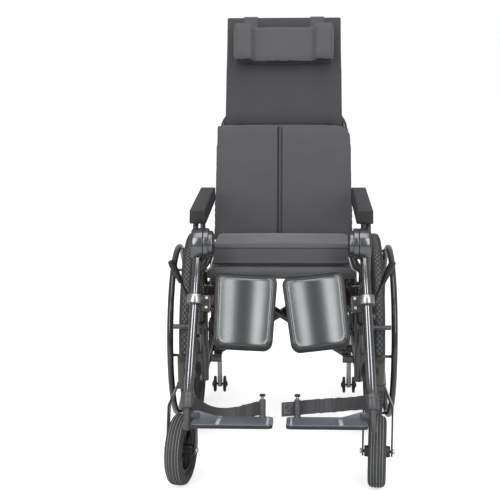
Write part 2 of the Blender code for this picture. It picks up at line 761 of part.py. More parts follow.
def cross_braces():
    """The front brace carries the centre pin, and the rear brace turns on it."""
    front_y = BRACE_Y - BRACE_SPREAD / 2
    rear_y = BRACE_Y + BRACE_SPREAD / 2
    z = brace_centre_z()
    far_end = rear_y + BRACE_RADIUS + LUG_WALL
    pin = bar((0, front_y, z), (0, far_end, z), BRACE_PIN_RADIUS)
    hole = bar((0, front_y, z), (0, far_end + LUG_WALL, z), BRACE_PIN_RADIUS + RUNNING_GAP)
    front = joined(brace_arm(front_y, 1), pin)
    rear = cut(brace_arm(rear_y, -1), hole)
    node("cross_brace_front", front, FRAME_PAINT, (BRACE_PIVOT_X, front_y, LOWER_RAIL_Z))
    node("cross_brace_rear", rear, FRAME_PAINT, (0, rear_y, z))


# Seat
def seat_sling():
    frame = seat_frame(SLING_FRONT_Y, SEAT_GAP)
    length = (SLING_REAR_Y - SLING_FRONT_Y) / math.cos(SEAT_SLOPE)
    edge = SLING_THICKNESS - SLING_CROWN

    def width_at(share):
        return SLING_WIDTH

    return cushion(frame, width_at, length, edge, SLING_CROWN, pull=SLING_PULL, corner=SEAT_CORNER, rows=6)


def seat_cushion():
    frame = seat_frame(CUSHION_FRONT_Y, SEAT_GAP + SLING_THICKNESS + SEAT_GAP)
    length = (CUSHION_REAR_Y - CUSHION_FRONT_Y) / math.cos(SEAT_SLOPE)
    edge = CUSHION_THICKNESS - CUSHION_CROWN

    def width_at(share):
        return CUSHION_WIDTH

    return cushion(frame, width_at, length, edge, CUSHION_CROWN, pull=CUSHION_PULL, corner=SEAT_CORNER, rows=6)


def cushion_hinge():
    """The rear top edge of the seat cushion, which stays down when its front is lifted."""
    frame = seat_frame(CUSHION_REAR_Y, SEAT_GAP + SLING_THICKNESS + SEAT_GAP + CUSHION_THICKNESS)
    return frame.translation


# Back
def back_post():
    x = BACK_POST_X
    post = bar((x, -BACK_POST_TAIL, 0), (x, BACK_POST_TOP, 0), BACK_POST_RADIUS)
    handle = bar((x, HANDLE_UP, 0), (x, HANDLE_UP, -HANDLE_LENGTH), HANDLE_RADIUS)
    link_end = Vector((x, LINK_REACH * math.cos(LINK_ANGLE), -LINK_REACH * math.sin(LINK_ANGLE)))
    link = block(
        (x - LINK_THICKNESS / 2, link_end.y - LINK_WIDTH / 2, link_end.z - LINK_WIDTH / 2),
        (x + LINK_THICKNESS / 2, link_end.y + LINK_WIDTH / 2, 0),
    )
    lever_up = HANDLE_UP - LEVER_DROP
    ear = block(
        (x - LINK_THICKNESS / 2, lever_up - LINK_WIDTH / 2, -2 * LINK_WIDTH / 2 - LUG_WALL),
        (x + LINK_THICKNESS / 2, lever_up + LINK_WIDTH / 2, 0),
    )
    pin_end = (lever_x() + LUG_WALL, lever_up, -LINK_WIDTH)
    lever_pin = bar((x, lever_up, -LINK_WIDTH), pin_end, LEVER_PIN_RADIUS)
    shape = joined(post, handle, link, ear, lever_pin)
    reach = BACK_POST_RADIUS + LUG_WALL
    pivot_bore = bar((x - reach, 0, 0), (x + reach, 0, 0), RECLINE_PIN_RADIUS + RUNNING_GAP)
    socket_bottom = BACK_POST_TOP - HEAD_POST_SOCKET
    bore_start = (x, socket_bottom - LUG_WALL, 0)
    head_bore = bar(bore_start, (x, BACK_POST_TOP + LUG_WALL, 0), HEAD_POST_RADIUS + RUNNING_GAP)
    return set_in(BACK, cut(shape, pivot_bore, head_bore))


def lever_x():
    """The recline lever lies just outboard of its ear."""
    return BACK_POST_X + LINK_THICKNESS / 2 + LUG_WALL


def recline_lever():
    x = lever_x()
    up = HANDLE_UP - LEVER_DROP
    half = LUG_WALL - 2 * RUNNING_GAP
    outer = LEVER_PIN_RADIUS + LUG_WALL
    hub = bar((x - half, up, -LINK_WIDTH), (x + half, up, -LINK_WIDTH), outer)
    elbow = (x, up - outer, -LINK_WIDTH - LEVER_LENGTH / 3)
    tip = (x, up - outer, -LINK_WIDTH - LEVER_LENGTH)
    blade = bent_tube([(x, up, -LINK_WIDTH), elbow, tip], LEVER_RADIUS, LEVER_LENGTH / 4)
    bore = bar((x - outer, up, -LINK_WIDTH), (x + outer, up, -LINK_WIDTH), LEVER_PIN_RADIUS + RUNNING_GAP)
    return set_in(BACK, cut(joined(hub, blade), bore))


def push_grip():
    start = -HANDLE_LENGTH + GRIP_LENGTH
    end = -HANDLE_LENGTH - LUG_WALL
    length = start - end
    inner = HANDLE_RADIUS + RUNNING_GAP
    lip = GRIP_RADIUS / 5
    profile = [
        (inner, 0),
        (GRIP_RADIUS, 0),
        (GRIP_RADIUS, lip),
        (GRIP_RADIUS - lip / 2, 2 * lip),
        (GRIP_RADIUS - lip / 2, length - 2 * lip),
        (GRIP_RADIUS, length - lip),
        (GRIP_RADIUS - lip, length),
        (inner, length),
    ]
    grip = turned(profile, (BACK_POST_X, HANDLE_UP, start), (BACK_POST_X, HANDLE_UP, end))
    return set_in(BACK, grip)


def head_post():
    bottom = BACK_POST_TOP - HEAD_POST_SOCKET
    bend = HEAD_POST_JOG / 3
    jog = BACK_POST_TOP + bend
    corners = [
        (BACK_POST_X, bottom, 0),
        (BACK_POST_X, jog, 0),
        (HEAD_POST_X, jog + HEAD_POST_JOG, 0),
        (HEAD_POST_X, HEAD_PANEL_TOP - LUG_WALL, 0),
    ]
    return set_in(BACK, bent_tube(corners, HEAD_POST_RADIUS, bend))


def back_pad():
    bottom = Vector((0, BACK_PAD_BOTTOM, BACK_POST_RADIUS + SEAT_GAP))
    length = BACK_PAD_TOP - BACK_PAD_BOTTOM
    spread = BACK_PAD_WIDTH_MIDDLE - BACK_PAD_WIDTH_ENDS
    seam_depth = BACK_PAD_THICKNESS / 6

    def width_at(share):
        return BACK_PAD_WIDTH_ENDS + spread * math.sin(math.pi * share)

    def seams(x, y):
        away = (abs(x) - BACK_SEAM_SPACING / 2) / BACK_SEAM_SPACING
        return -seam_depth * math.exp(-away * away)

    frame = BACK @ Matrix.Translation(bottom)
    crown = BACK_PAD_THICKNESS / 3
    edge = BACK_PAD_THICKNESS - crown
    return cushion(frame, width_at, length, edge, crown, corner=0.05, relief=seams, columns=14)


def head_panel():
    bottom = Vector((0, BACK_PAD_TOP + SEAT_GAP, HEAD_POST_RADIUS + SEAT_GAP))
    length = HEAD_PANEL_TOP - BACK_PAD_TOP - SEAT_GAP
    spread = HEAD_PANEL_WIDTH_BOTTOM - HEAD_PANEL_WIDTH_TOP
    crown = HEAD_PANEL_THICKNESS / 4
    frame = BACK @ Matrix.Translation(bottom)

    def width_at(share):
        return HEAD_PANEL_WIDTH_BOTTOM - spread * share

    return cushion(frame, width_at, length, HEAD_PANEL_THICKNESS - crown, crown, columns=8, rows=6)


def headrest_pillow():
    """The neck pillow: thick at its two ends and dished in the middle."""
    back = HEAD_POST_RADIUS + SEAT_GAP + HEAD_PANEL_THICKNESS + SEAT_GAP

    def dish(x, y):
        return -PILLOW_DISH * math.cos(math.pi * x / PILLOW_WIDTH) ** 2

    frame = BACK @ Matrix.Translation((0, PILLOW_BOTTOM, back))
    crown = PILLOW_DEPTH / 2
    edge = PILLOW_DEPTH - crown
    return cushion(
        frame,
        lambda share: PILLOW_WIDTH,
        PILLOW_HEIGHT,
        edge,
        crown,
        pull=-PILLOW_BULGE,
        corner=PILLOW_CORNER,
        relief=dish,
    )


# Recline cylinders
def recline_cylinder():
    """A gas cylinder that stands on the lower rail behind the rear tube."""
    place = link_place()
    foot = LOWER_RAIL_Z + FRAME_TUBE_RADIUS + LUG_WALL + SEAT_GAP
    bottom = Vector((place.x, place.y, foot))
    bore = ROD_RADIUS + RUNNING_GAP
    floor = 2 * LUG_WALL
    profile = [
        (0, 0),
        (CYLINDER_RADIUS, 0),
        (CYLINDER_RADIUS, CYLINDER_LENGTH),
        (bore, CYLINDER_LENGTH),
        (bore, floor),
        (0, floor),
    ]
    return turned(profile, bottom, bottom + Vector((0, 0, 1)))


def recline_rod():
    """The cylinder's rod, with a flat tongue beside the back post's link."""
    place = link_place()
    rod = bar(place - Vector((0, 0, ROD_LENGTH)), place - Vector((0, 0, LINK_WIDTH / 4)), ROD_RADIUS)
    half = LINK_WIDTH / 2
    tongue_x = BACK_POST_X - LINK_THICKNESS / 2 - 2 * RUNNING_GAP
    low = (tongue_x - TONGUE_THICKNESS, place.y - half, place.z - half)
    return joined(rod, block(low, (tongue_x, place.y + half, place.z + half)))


# Armrests
def armrest_frame():
    x = ARM_X
    bottom = ARM_SOCKET_BOTTOM + LUG_WALL
    corners = [
        (x, ARM_FRONT_Y, bottom),
        (x, ARM_FRONT_Y, ARM_TUBE_Z),
        (x, ARM_REAR_Y, ARM_TUBE_Z),
        (x, ARM_REAR_Y, bottom),
    ]
    seats = []
    for y in (ARM_FRONT_Y + ARM_BEND, ARM_REAR_Y - ARM_BEND):
        half_width = ARM_TUBE_RADIUS * 0.7
        low = (x - half_width, y - ARM_SEAT_LENGTH / 2, ARM_TUBE_Z)
        high = (x + half_width, y + ARM_SEAT_LENGTH / 2, ARM_PAD_BOTTOM - SEAT_GAP)
        seats.append(block(low, high))
    return joined(bent_tube(corners, ARM_TUBE_RADIUS, ARM_BEND), *seats)


def armrest_pad():
    half = ARM_PAD_WIDTH / 2
    frame = leaning((ARM_PAD_X, ARM_PAD_FRONT_Y, ARM_PAD_BOTTOM), math.pi / 2)
    crown = ARM_PAD_HEIGHT / 8
    length = ARM_PAD_REAR_Y - ARM_PAD_FRONT_Y
    return cushion(
        frame, lambda share: 2 * half, length, ARM_PAD_HEIGHT - crown, crown, corner=0.012, columns=6, rows=6
    )


# Rear wheels
def rear_tyre():
    """The tyre: a flat tread with rounded shoulders."""
    half = TYRE_WIDTH / 2
    profile = [
        (RIM_RADIUS, -RIM_WIDTH / 2),
        (TYRE_RADIUS - TYRE_DEPTH / 2, -half),
        (TYRE_RADIUS, -half / 3),
        (TYRE_RADIUS, half / 3),
        (TYRE_RADIUS - TYRE_DEPTH / 2, half),
        (RIM_RADIUS, RIM_WIDTH / 2),
    ]
    return turned(profile, (TRACK_HALF, 0, AXLE_Z), (TRACK_HALF + 1, 0, AXLE_Z), WHEEL_SIDES)


def rear_wheel():
    """A moulded rim, its spokes and the hub."""
    centre = Vector((TRACK_HALF, 0, AXLE_Z))
    outward = Vector((1, 0, 0))
    outer = RIM_RADIUS - RUNNING_GAP
    inner = RIM_RADIUS - RIM_WALL
    half = RIM_WIDTH / 2
    profile = [(inner, -half), (outer, -half), (outer, half), (inner, half)]
    rim = turned(profile, centre, centre + outward, WHEEL_SIDES)
    half_hub = HUB_LENGTH / 2
    hub = bar(centre - outward * half_hub, centre + outward * half_hub, HUB_RADIUS)
    spokes = []
    for count in range(SPOKE_COUNT):
        turn = Matrix.Rotation(math.tau * count / SPOKE_COUNT, 4, "X")
        middle = inner + RIM_WALL / 3
        low = (-SPOKE_THICKNESS / 2, -SPOKE_WIDTH / 2, HUB_RADIUS / 2)
        spoke = block(low, (SPOKE_THICKNESS / 2, SPOKE_WIDTH / 2, middle))
        spokes.append(set_in(Matrix.Translation(centre) @ turn, spoke))
    bore = bar(centre - outward * HUB_LENGTH, centre + outward * HUB_LENGTH, AXLE_RADIUS + RUNNING_GAP)
    return cut(joined(rim, hub, *spokes), bore)


def handrim():
    """The pushing ring and the standoffs that hold it to the rim."""
    centre = Vector((HANDRIM_X, 0, AXLE_Z))
    tube = HANDRIM_TUBE / 2
    profile = []
    for step in range(ROUND_SIDES // 2):
        angle = math.tau * step / (ROUND_SIDES // 2)
        profile.append((HANDRIM_RADIUS + tube * math.cos(angle), tube * math.sin(angle)))
    ring = turned(profile, centre, centre + Vector((1, 0, 0)), WHEEL_SIDES)
    standoffs = []
    for count in range(STANDOFF_COUNT):
        angle = math.tau * (count + 0.5) / STANDOFF_COUNT
        out = Vector((0, math.sin(angle), math.cos(angle))) * HANDRIM_RADIUS
        foot = Vector((TRACK_HALF + RIM_WIDTH / 2 + SEAT_GAP, 0, AXLE_Z)) + out
        standoffs.append(bar(foot, centre + out, STANDOFF_RADIUS, ROUND_SIDES // 2))
    return joined(ring, *standoffs)


# Casters, built facing straight ahead at their own stem
def caster_fork():
    half_gap = FORK_GAP / 2
    shoulder = FORK_SHOULDER_HEIGHT
    crown_top = STEM_HOUSING_BOTTOM - RUNNING_GAP
    crown_height = 0.018
    crown_half = STEM_HOUSING_RADIUS
    stem_end = STEM_HOUSING_TOP - 2 * LUG_WALL
    stem = bar((0, 0, crown_top - crown_height / 2), (0, 0, stem_end), STEM_RADIUS)
    low = (-crown_half, -FORK_LEG_DEPTH / 2, crown_top - crown_height)
    crown = block(low, (crown_half, FORK_LEG_DEPTH / 2, crown_top))
    axle_y = -CASTER_TRAIL
    tip = FORK_LEG_DEPTH / 2
    legs = []
    for side in (1, -1):
        inner_top = crown_half - FORK_LEG_THICKNESS
        outline = [
            (inner_top, crown_top - crown_height / 4),
            (half_gap, shoulder),
            (half_gap, CASTER_AXLE_Z - tip),
            (half_gap + FORK_LEG_THICKNESS, CASTER_AXLE_Z - tip),
            (half_gap + FORK_LEG_THICKNESS, shoulder + FORK_LEG_THICKNESS),
            (crown_half, crown_top - crown_height / 8),
        ]
        upright = Matrix.Rotation(math.pi / 2, 4, "X")
        leg = plate([(side * x, z) for x, z in outline], FORK_LEG_DEPTH, upright)
        drop = crown_top - CASTER_AXLE_Z
        for vertex in leg.data.vertices:
            vertex.co.y += axle_y * (crown_top - vertex.co.z) / drop
        legs.append(leg)
    end = half_gap + 2 * FORK_LEG_THICKNESS
    axle = bar((-end, axle_y, CASTER_AXLE_Z), (end, axle_y, CASTER_AXLE_Z), CASTER_AXLE_RADIUS)
    return joined(stem, crown, *legs, axle)


def caster_tyre():
    """A solid tyre with round shoulders and two grooves round its tread."""
    half = CASTER_WIDTH / 2
    groove = CASTER_GROOVE_DEPTH
    profile = [(CASTER_RIM_RADIUS, -half * 0.7), (CASTER_RIM_RADIUS + CASTER_TYRE_DEPTH / 2, -half)]
    for place, drop in ((-0.75, 3), (-0.4, 0.5), (-0.3, 1.5), (-0.2, 0)):
        profile.append((CASTER_RADIUS - drop * groove, place * half))
    for radius, height in profile[::-1]:
        profile.append((radius, -height))
    start = Vector((0, -CASTER_TRAIL, CASTER_AXLE_Z))
    return turned(profile, start, start + Vector((1, 0, 0)), CASTER_SIDES)


def caster_hub():
    """The caster's wheel: a rim, a thin disc and the bearing boss."""
    outer = CASTER_RIM_RADIUS - RUNNING_GAP
    boss = CASTER_AXLE_RADIUS * 4
    half = FORK_GAP / 2 - 4 * RUNNING_GAP
    rim_half = CASTER_WIDTH * 0.34
    web = CASTER_WIDTH / 8
    well = outer - LUG_WALL * 2
    side = [(outer, rim_half), (well, rim_half), (well, web), (boss, web), (boss, half)]
    bore = CASTER_AXLE_RADIUS + RUNNING_GAP
    profile = [(bore, -half)] + [(radius, -height) for radius, height in reversed(side)]
    profile += side + [(bore, half)]
    start = Vector((0, -CASTER_TRAIL, CASTER_AXLE_Z))
    return turned(profile, start, start + Vector((1, 0, 0)), CASTER_SIDES)


def casters():
    """Both casters, each turned about its stem as it came to rest."""
    for name, build, material in (
        ("caster_fork", caster_fork, FRAME_PAINT),
        ("caster_tyre", caster_tyre, TYRE_RUBBER),
        ("caster_hub", caster_hub, BLACK_PLASTIC),
    ):
        for (side_name, side), turn in zip(SIDES, (CASTER_TURN_LEFT, CASTER_TURN_RIGHT)):
            stem = Vector((side * CASTER_STEM_X, CASTER_STEM_Y, 0))
            place = Matrix.Translation(stem) @ Matrix.Rotation(turn, 4, "Z")
            axle = place @ Vector((0, -CASTER_TRAIL, CASTER_AXLE_Z))
            pivot = stem if name == "caster_fork" else axle
            node(f"{name}_{side_name}", set_in(place, build()), material, pivot)


# Legrests
def legrest_hanger():
    """The swing post, the arm above it and the inner half of the knuckle."""
    post = bar((SWING_X, SWING_Y, SWING_POST_BOTTOM), (SWING_X, SWING_Y, SWING_POST_TOP), SWING_POST_RADIUS)
    collar_bottom = SWING_LUG_HIGH_Z + SWING_LUG_HEIGHT / 2 + SEAT_GAP
    collar_top = (SWING_X, SWING_Y, collar_bottom + 2 * LUG_WALL)
    collar = bar((SWING_X, SWING_Y, collar_bottom), collar_top, SWING_POST_RADIUS + LUG_WALL)
    disc_middle = (KNUCKLE_INNER_X + KNUCKLE_SPLIT_X) / 2
    arm_end = (disc_middle, KNUCKLE_Y, KNUCKLE_Z - KNUCKLE_RADIUS / 2)
    elbow = (disc_middle, KNUCKLE_Y, KNUCKLE_Z - KNUCKLE_RADIUS)
    arm_start = (SWING_X, SWING_Y, SWING_POST_TOP - SWING_POST_RADIUS)
    corners = [arm_start, (SWING_X, SWING_Y, SWING_POST_TOP), elbow, arm_end]
    arm = bent_tube(corners, SWING_POST_RADIUS * 0.95, LUG_WALL)
    width = KNUCKLE_SPLIT_X - KNUCKLE_INNER_X - SEAT_GAP
    step = width / 4
    profile = [
        (0, 0),
        (KNUCKLE_RADIUS - 2 * step, 0),
        (KNUCKLE_RADIUS - step, step),
        (KNUCKLE_RADIUS - step, 2 * step),
        (KNUCKLE_RADIUS, 2 * step),
        (KNUCKLE_RADIUS, width),
        (0, width),
    ]
    start = (KNUCKLE_INNER_X, KNUCKLE_Y, KNUCKLE_Z)
    disc = turned(profile, start, (KNUCKLE_OUTER_X, KNUCKLE_Y, KNUCKLE_Z), KNUCKLE_SIDES)
    pin_end = (KNUCKLE_OUTER_X - LUG_WALL, KNUCKLE_Y, KNUCKLE_Z)
    pin = bar((disc_middle, KNUCKLE_Y, KNUCKLE_Z), pin_end, KNUCKLE_PIN_RADIUS)
    return joined(post, collar, arm, disc, pin)


def leg_tube():
    """The knuckle's outer band, the leg tube and the clamp at its lower end."""
    start = (KNUCKLE_SPLIT_X + SEAT_GAP, KNUCKLE_Y, KNUCKLE_Z)
    width = KNUCKLE_OUTER_X - KNUCKLE_SPLIT_X - SEAT_GAP
    edge = width / 8
    profile = [
        (0, 0),
        (KNUCKLE_RADIUS - edge, 0),
        (KNUCKLE_RADIUS, edge),
        (KNUCKLE_RADIUS, width - edge),
        (KNUCKLE_RADIUS - edge, width),
        (0, width),
    ]
    band = turned(profile, start, (KNUCKLE_OUTER_X, KNUCKLE_Y, KNUCKLE_Z), KNUCKLE_SIDES)
    tube = set_in(LEG, bar((0, -KNUCKLE_RADIUS / 2, 0), (0, -LEG_TUBE_LENGTH, 0), LEG_TUBE_RADIUS))
    clamp_top = -LEG_TUBE_LENGTH + LUG_WALL
    clamp = set_in(LEG, bar((0, clamp_top, 0), (0, clamp_top - CLAMP_LENGTH, 0), CLAMP_RADIUS))
    bore_end = clamp_top - CLAMP_LENGTH - LUG_WALL
    bore = bar((0, bore_end + LEG_BORE_LENGTH, 0), (0, bore_end, 0), FOOT_TUBE_RADIUS + RUNNING_GAP)
    set_in(LEG, bore)
    pin_hole = bar(
        (KNUCKLE_SPLIT_X - LUG_WALL, KNUCKLE_Y, KNUCKLE_Z),
        (KNUCKLE_OUTER_X - LUG_WALL / 2, KNUCKLE_Y, KNUCKLE_Z),
        KNUCKLE_PIN_RADIUS + RUNNING_GAP,
    )
    return cut(joined(band, tube, clamp), bore, pin_hole)


def calf_pad_x():
    """The calf pad's middle, measured across from the leg tube."""
    return CALF_PAD_X - LEG_X


def calf_bracket():
    """A collar on the leg tube, an arm behind the calf pad and the rod that the pad tilts on."""
    half = BRACKET_HEIGHT / 2
    down = -BRACKET_DOWN
    inner = LEG_TUBE_RADIUS + SEAT_GAP
    collar = bar((0, down + half, 0), (0, down - half, 0), BRACKET_RADIUS)
    rod_half = CALF_ROD_LENGTH / 2
    middle = calf_pad_x()
    rod_down = -CALF_PAD_DOWN
    rod_start = (middle - rod_half, rod_down, -CALF_ROD_BACK)
    rod_end = (middle + rod_half, rod_down, -CALF_ROD_BACK)
    corners = [(0, down, -inner), (0, down, -CALF_ROD_BACK), rod_end]
    arm = bent_tube(corners, CALF_ARM_RADIUS, BRACKET_RADIUS)
    rod = bar(rod_start, rod_end, CALF_ROD_RADIUS)
    bore = bar((0, down + BRACKET_HEIGHT, 0), (0, down - BRACKET_HEIGHT, 0), inner)
    return set_in(LEG, cut(joined(collar, arm, rod), bore))


def calf_pad():
    """A dished pad with two ears behind it that turn on the bracket's rod."""
    middle = calf_pad_x()
    bottom = -CALF_PAD_DOWN - CALF_PAD_HEIGHT / 2

    def dish(x, y):
        return CALF_PAD_DISH * ((2 * x / CALF_PAD_WIDTH) ** 2 - 1)

    frame = LEG @ Matrix.Translation((middle, bottom, -CALF_PAD_BACK))

    def width_at(share):
        return CALF_PAD_WIDTH - CALF_PAD_TAPER * (1 - share)

    pad = cushion(
        frame,
        width_at,
        CALF_PAD_HEIGHT,
        CALF_PAD_THICKNESS,
        0.0,
        corner=CALF_PAD_CORNER,
        relief=dish,
        columns=8,
        rows=6,
    )
    outer = CALF_ROD_RADIUS + CALF_EAR_WALL
    ears = []
    for side in (1, -1):
        x = middle + side * CALF_EAR_SPACING / 2
        half = CALF_EAR_THICKNESS / 2
        ring_start = (x - half, -CALF_PAD_DOWN, -CALF_ROD_BACK)
        ring = bar(ring_start, (x + half, -CALF_PAD_DOWN, -CALF_ROD_BACK), outer)
        web = block(
            (x - half + SEAT_GAP, -CALF_PAD_DOWN - outer * 0.8, -CALF_ROD_BACK),
            (x + half - SEAT_GAP, -CALF_PAD_DOWN + outer * 0.8, -CALF_PAD_BACK + LUG_WALL),
        )
        ears.append(set_in(LEG, joined(ring, web)))
    reach = CALF_PAD_WIDTH / 2
    bore = bar(
        (middle - reach, -CALF_PAD_DOWN, -CALF_ROD_BACK),
        (middle + reach, -CALF_PAD_DOWN, -CALF_ROD_BACK),
        CALF_ROD_RADIUS + RUNNING_GAP,
    )
    return cut(joined(pad, *ears), set_in(LEG, bore))


# Footrests
def foot_tube():
    """The sliding foot tube, with a lug and the pin that the footplate turns on."""
    top = -LEG_TUBE_LENGTH + FOOT_TUBE_INSERT
    bottom = -LEG_TUBE_LENGTH - FOOT_TUBE_BELOW
    tube = set_in(LEG, bar((0, top, 0), (0, bottom, 0), FOOT_TUBE_RADIUS))
    tube_x = FOOT_HINGE_IN
    half = FOOT_LUG_WIDTH / 2
    lug = block((-half, -half, 0), (tube_x, half, FOOT_LUG_THICKNESS))
    pin = bar((0, 0, FOOT_LUG_THICKNESS / 2), (0, 0, -GUSSET_THICKNESS - LUG_WALL), FOOT_HINGE_PIN)
    return joined(tube, set_in(FOOT, joined(lug, pin)))


def footplate():
    """The tread plate, the gusset that hangs it on its pin and the post of the heel strap."""
    frame = FOOT
    inner = FOOTPLATE_INNER_X - FOOT_HINGE.x
    top = -FOOTPLATE_DROP
    front = FOOTPLATE_AHEAD
    low = (inner, front - FOOTPLATE_LENGTH)
    tread_outline = rounded_rectangle(low, (FOOT_LUG_WIDTH / 2, front), FOOTPLATE_CORNER)
    level = frame @ Matrix.Translation((0, top - FOOTPLATE_THICKNESS / 2, 0))
    tread = plate(tread_outline, FOOTPLATE_THICKNESS, level @ Matrix.Rotation(math.pi / 2, 4, "X"))
    half = FOOT_LUG_WIDTH / 2
    buried = top - FOOTPLATE_THICKNESS / 2
    gusset_outline = [(half, buried), (half, half), (-half, half), (-GUSSET_LENGTH, buried)]
    behind_lug = frame @ Matrix.Translation((0, 0, -GUSSET_THICKNESS / 2 - RUNNING_GAP))
    gusset = plate(gusset_outline, GUSSET_THICKNESS, behind_lug)
    post_x = STRAP_POST_X - FOOT_HINGE.x
    post_z = front - FOOTPLATE_LENGTH + 2 * STRAP_POST_RADIUS
    post = bar((post_x, buried, post_z), (post_x, top + STRAP_POST_HEIGHT, post_z), STRAP_POST_RADIUS)
    set_in(frame, post)
    hole = set_in(frame, bar((0, 0, LUG_WALL), (0, 0, -4 * LUG_WALL), FOOT_HINGE_PIN + RUNNING_GAP))
    return cut(joined(tread, gusset, post), hole)


def heel_strap():
    """A webbing band that bows back behind the heel, from beside the foot tube to the strap post."""
    frame = FOOT
    front = FOOTPLATE_AHEAD
    post_x = STRAP_POST_X - FOOT_HINGE.x
    post_z = front - FOOTPLATE_LENGTH + 2 * STRAP_POST_RADIUS
    half = STRAP_THICKNESS / 2
    outer_end = Vector((STRAP_END_X, -STRAP_END_BACK))
    inner_end = Vector((post_x, post_z - STRAP_POST_RADIUS - SEAT_GAP - half))
    outline = []
    count = 4 * BEND_STEPS
    for offset in (half, -half):
        row = []
        for step in range(count + 1):
            share = step / count
            spot = outer_end.lerp(inner_end, share)
            bow = STRAP_BULGE * math.sin(math.pi * share) ** 0.8 if 0 < share < 1 else 0
            row.append((spot.x, spot.y - bow + offset))
        outline += row if offset > 0 else row[::-1]
    middle = -FOOTPLATE_DROP + STRAP_LIFT + STRAP_HEIGHT / 2
    stand = Matrix.Translation((0, middle, 0)) @ Matrix.Rotation(math.pi / 2, 4, "X")
    strap = plate(outline, STRAP_HEIGHT, stand)
    for vertex in strap.data.vertices:
        vertex.co.y += STRAP_RISE * (vertex.co.x - post_x) / (STRAP_END_X - post_x)
    return set_in(frame, strap)


# Brakes
def brake_lever():
    """A lever on its pin, with a rod that leans out to the grip."""
    start_x = BRAKE_BLOCK_OUT + SEAT_GAP
    hub = bar((start_x, BRAKE_Y, BRAKE_LEVER_Z), (BRAKE_PIN_END, BRAKE_Y, BRAKE_LEVER_Z), BRAKE_HUB_RADIUS)
    middle_x = (start_x + BRAKE_PIN_END) / 2
    elbow = Vector((TRACK_HALF - TYRE_WIDTH / 4, BRAKE_Y, BRAKE_LEVER_Z + 2 * LINK_WIDTH))
    top = Vector((BRAKE_SHOE_OUT, BRAKE_Y, BRAKE_LEVER_Z + 2 * LINK_WIDTH + BRAKE_GRIP_LENGTH + LINK_WIDTH))
    grip_start = top + (elbow - top).normalized() * BRAKE_GRIP_LENGTH
    grip_middle = grip_start.lerp(top, 0.5)
    corners = [(middle_x, BRAKE_Y, BRAKE_LEVER_Z), elbow, grip_middle]
    rod = bent_tube(corners, BRAKE_ROD_RADIUS, LINK_WIDTH / 2)
    radius = BRAKE_GRIP_RADIUS
    profile = [
        (0, 0),
        (radius * 0.7, 0),
        (radius, BRAKE_GRIP_LENGTH * 0.8),
        (radius * 0.8, BRAKE_GRIP_LENGTH * 0.97),
        (0, BRAKE_GRIP_LENGTH),
    ]
    grip = turned(profile, grip_start, top)
    bore = bar(
        (start_x - LUG_WALL, BRAKE_Y, BRAKE_LEVER_Z),
        (BRAKE_PIN_END + LUG_WALL, BRAKE_Y, BRAKE_LEVER_Z),
        BRAKE_PIN_RADIUS + RUNNING_GAP,
    )
    return joined(cut(joined(hub, rod), bore), grip)


def brake_shoe_y():
    """The shoe bar stands a little in front of the tyre's tread."""
    tread = math.sqrt(TYRE_RADIUS**2 - (BRAKE_SHOE_Z - AXLE_Z) ** 2)
    lean = tread / TYRE_RADIUS
    return -tread - (BRAKE_SHOE_RADIUS + BRAKE_SHOE_GAP) / lean


def brake_shoe():
    """A short arm on the lower pin and the bar that presses on the tyre."""
    start_x = BRAKE_BLOCK_OUT + SEAT_GAP
    end_x = BRAKE_PIN_END
    middle_x = (start_x + end_x) / 2
    y = brake_shoe_y()
    hub = bar((start_x, BRAKE_Y, BRAKE_SHOE_PIVOT_Z), (end_x, BRAKE_Y, BRAKE_SHOE_PIVOT_Z), BRAKE_HUB_RADIUS)
    arm = bar((middle_x, BRAKE_Y, BRAKE_SHOE_PIVOT_Z), (middle_x, y, BRAKE_SHOE_Z), BRAKE_ROD_RADIUS)
    shoe = bar((start_x, y, BRAKE_SHOE_Z), (BRAKE_SHOE_OUT, y, BRAKE_SHOE_Z), BRAKE_SHOE_RADIUS)
    bore = bar(
        (start_x - LUG_WALL, BRAKE_Y, BRAKE_SHOE_PIVOT_Z),
        (end_x + LUG_WALL, BRAKE_Y, BRAKE_SHOE_PIVOT_Z),
        BRAKE_PIN_RADIUS + RUNNING_GAP,
    )
    return cut(joined(hub, arm, shoe), bore)


# Anti-tippers
def anti_tip_post():
    """A tube in the end of the lower rail that bends down to its two small wheels."""
    x = FRAME_X
    foot = ANTI_TIP_WHEEL_Z - ANTI_TIP_RADIUS
    corners = [
        (x, ANTI_TIP_SOCKET_Y - ANTI_TIP_INSERT, LOWER_RAIL_Z),
        (x, ANTI_TIP_POST_Y, LOWER_RAIL_Z),
        (x, ANTI_TIP_POST_Y, foot),
    ]
    post = bent_tube(corners, ANTI_TIP_RADIUS, ANTI_TIP_POST_Y - ANTI_TIP_SOCKET_Y)
    reach = 2 * ANTI_TIP_RADIUS
    y, z = ANTI_TIP_POST_Y, ANTI_TIP_WHEEL_Z
    bore = bar((x - reach, y, z), (x + reach, y, z), ANTI_TIP_AXLE_RADIUS + RUNNING_GAP)
    return cut(post, bore)


def anti_tip_wheels():
    """Two small wheels on one axle through the post."""
    y, z = ANTI_TIP_POST_Y, ANTI_TIP_WHEEL_Z
    inner = ANTI_TIP_WHEEL_SPACING / 2 - ANTI_TIP_WHEEL_WIDTH / 2
    end = inner + ANTI_TIP_WHEEL_WIDTH + LUG_WALL
    axle = bar((FRAME_X - end, y, z), (FRAME_X + end, y, z), ANTI_TIP_AXLE_RADIUS)
    wheels = []
    for side in (1, -1):
        start = FRAME_X + side * inner
        end_x = start + side * ANTI_TIP_WHEEL_WIDTH
        wheels.append(bar((start, y, z), (end_x, y, z), ANTI_TIP_WHEEL_RADIUS, KNUCKLE_SIDES))
    return joined(axle, *wheels)


# The chair
for existing in list(bpy.data.objects):
    bpy.data.objects.remove(existing)

chair = bpy.data.objects.new("wheelchair", None)
bpy.context.scene.collection.objects.link(chair)
chair.location = (0, AXLE_Y, 0)

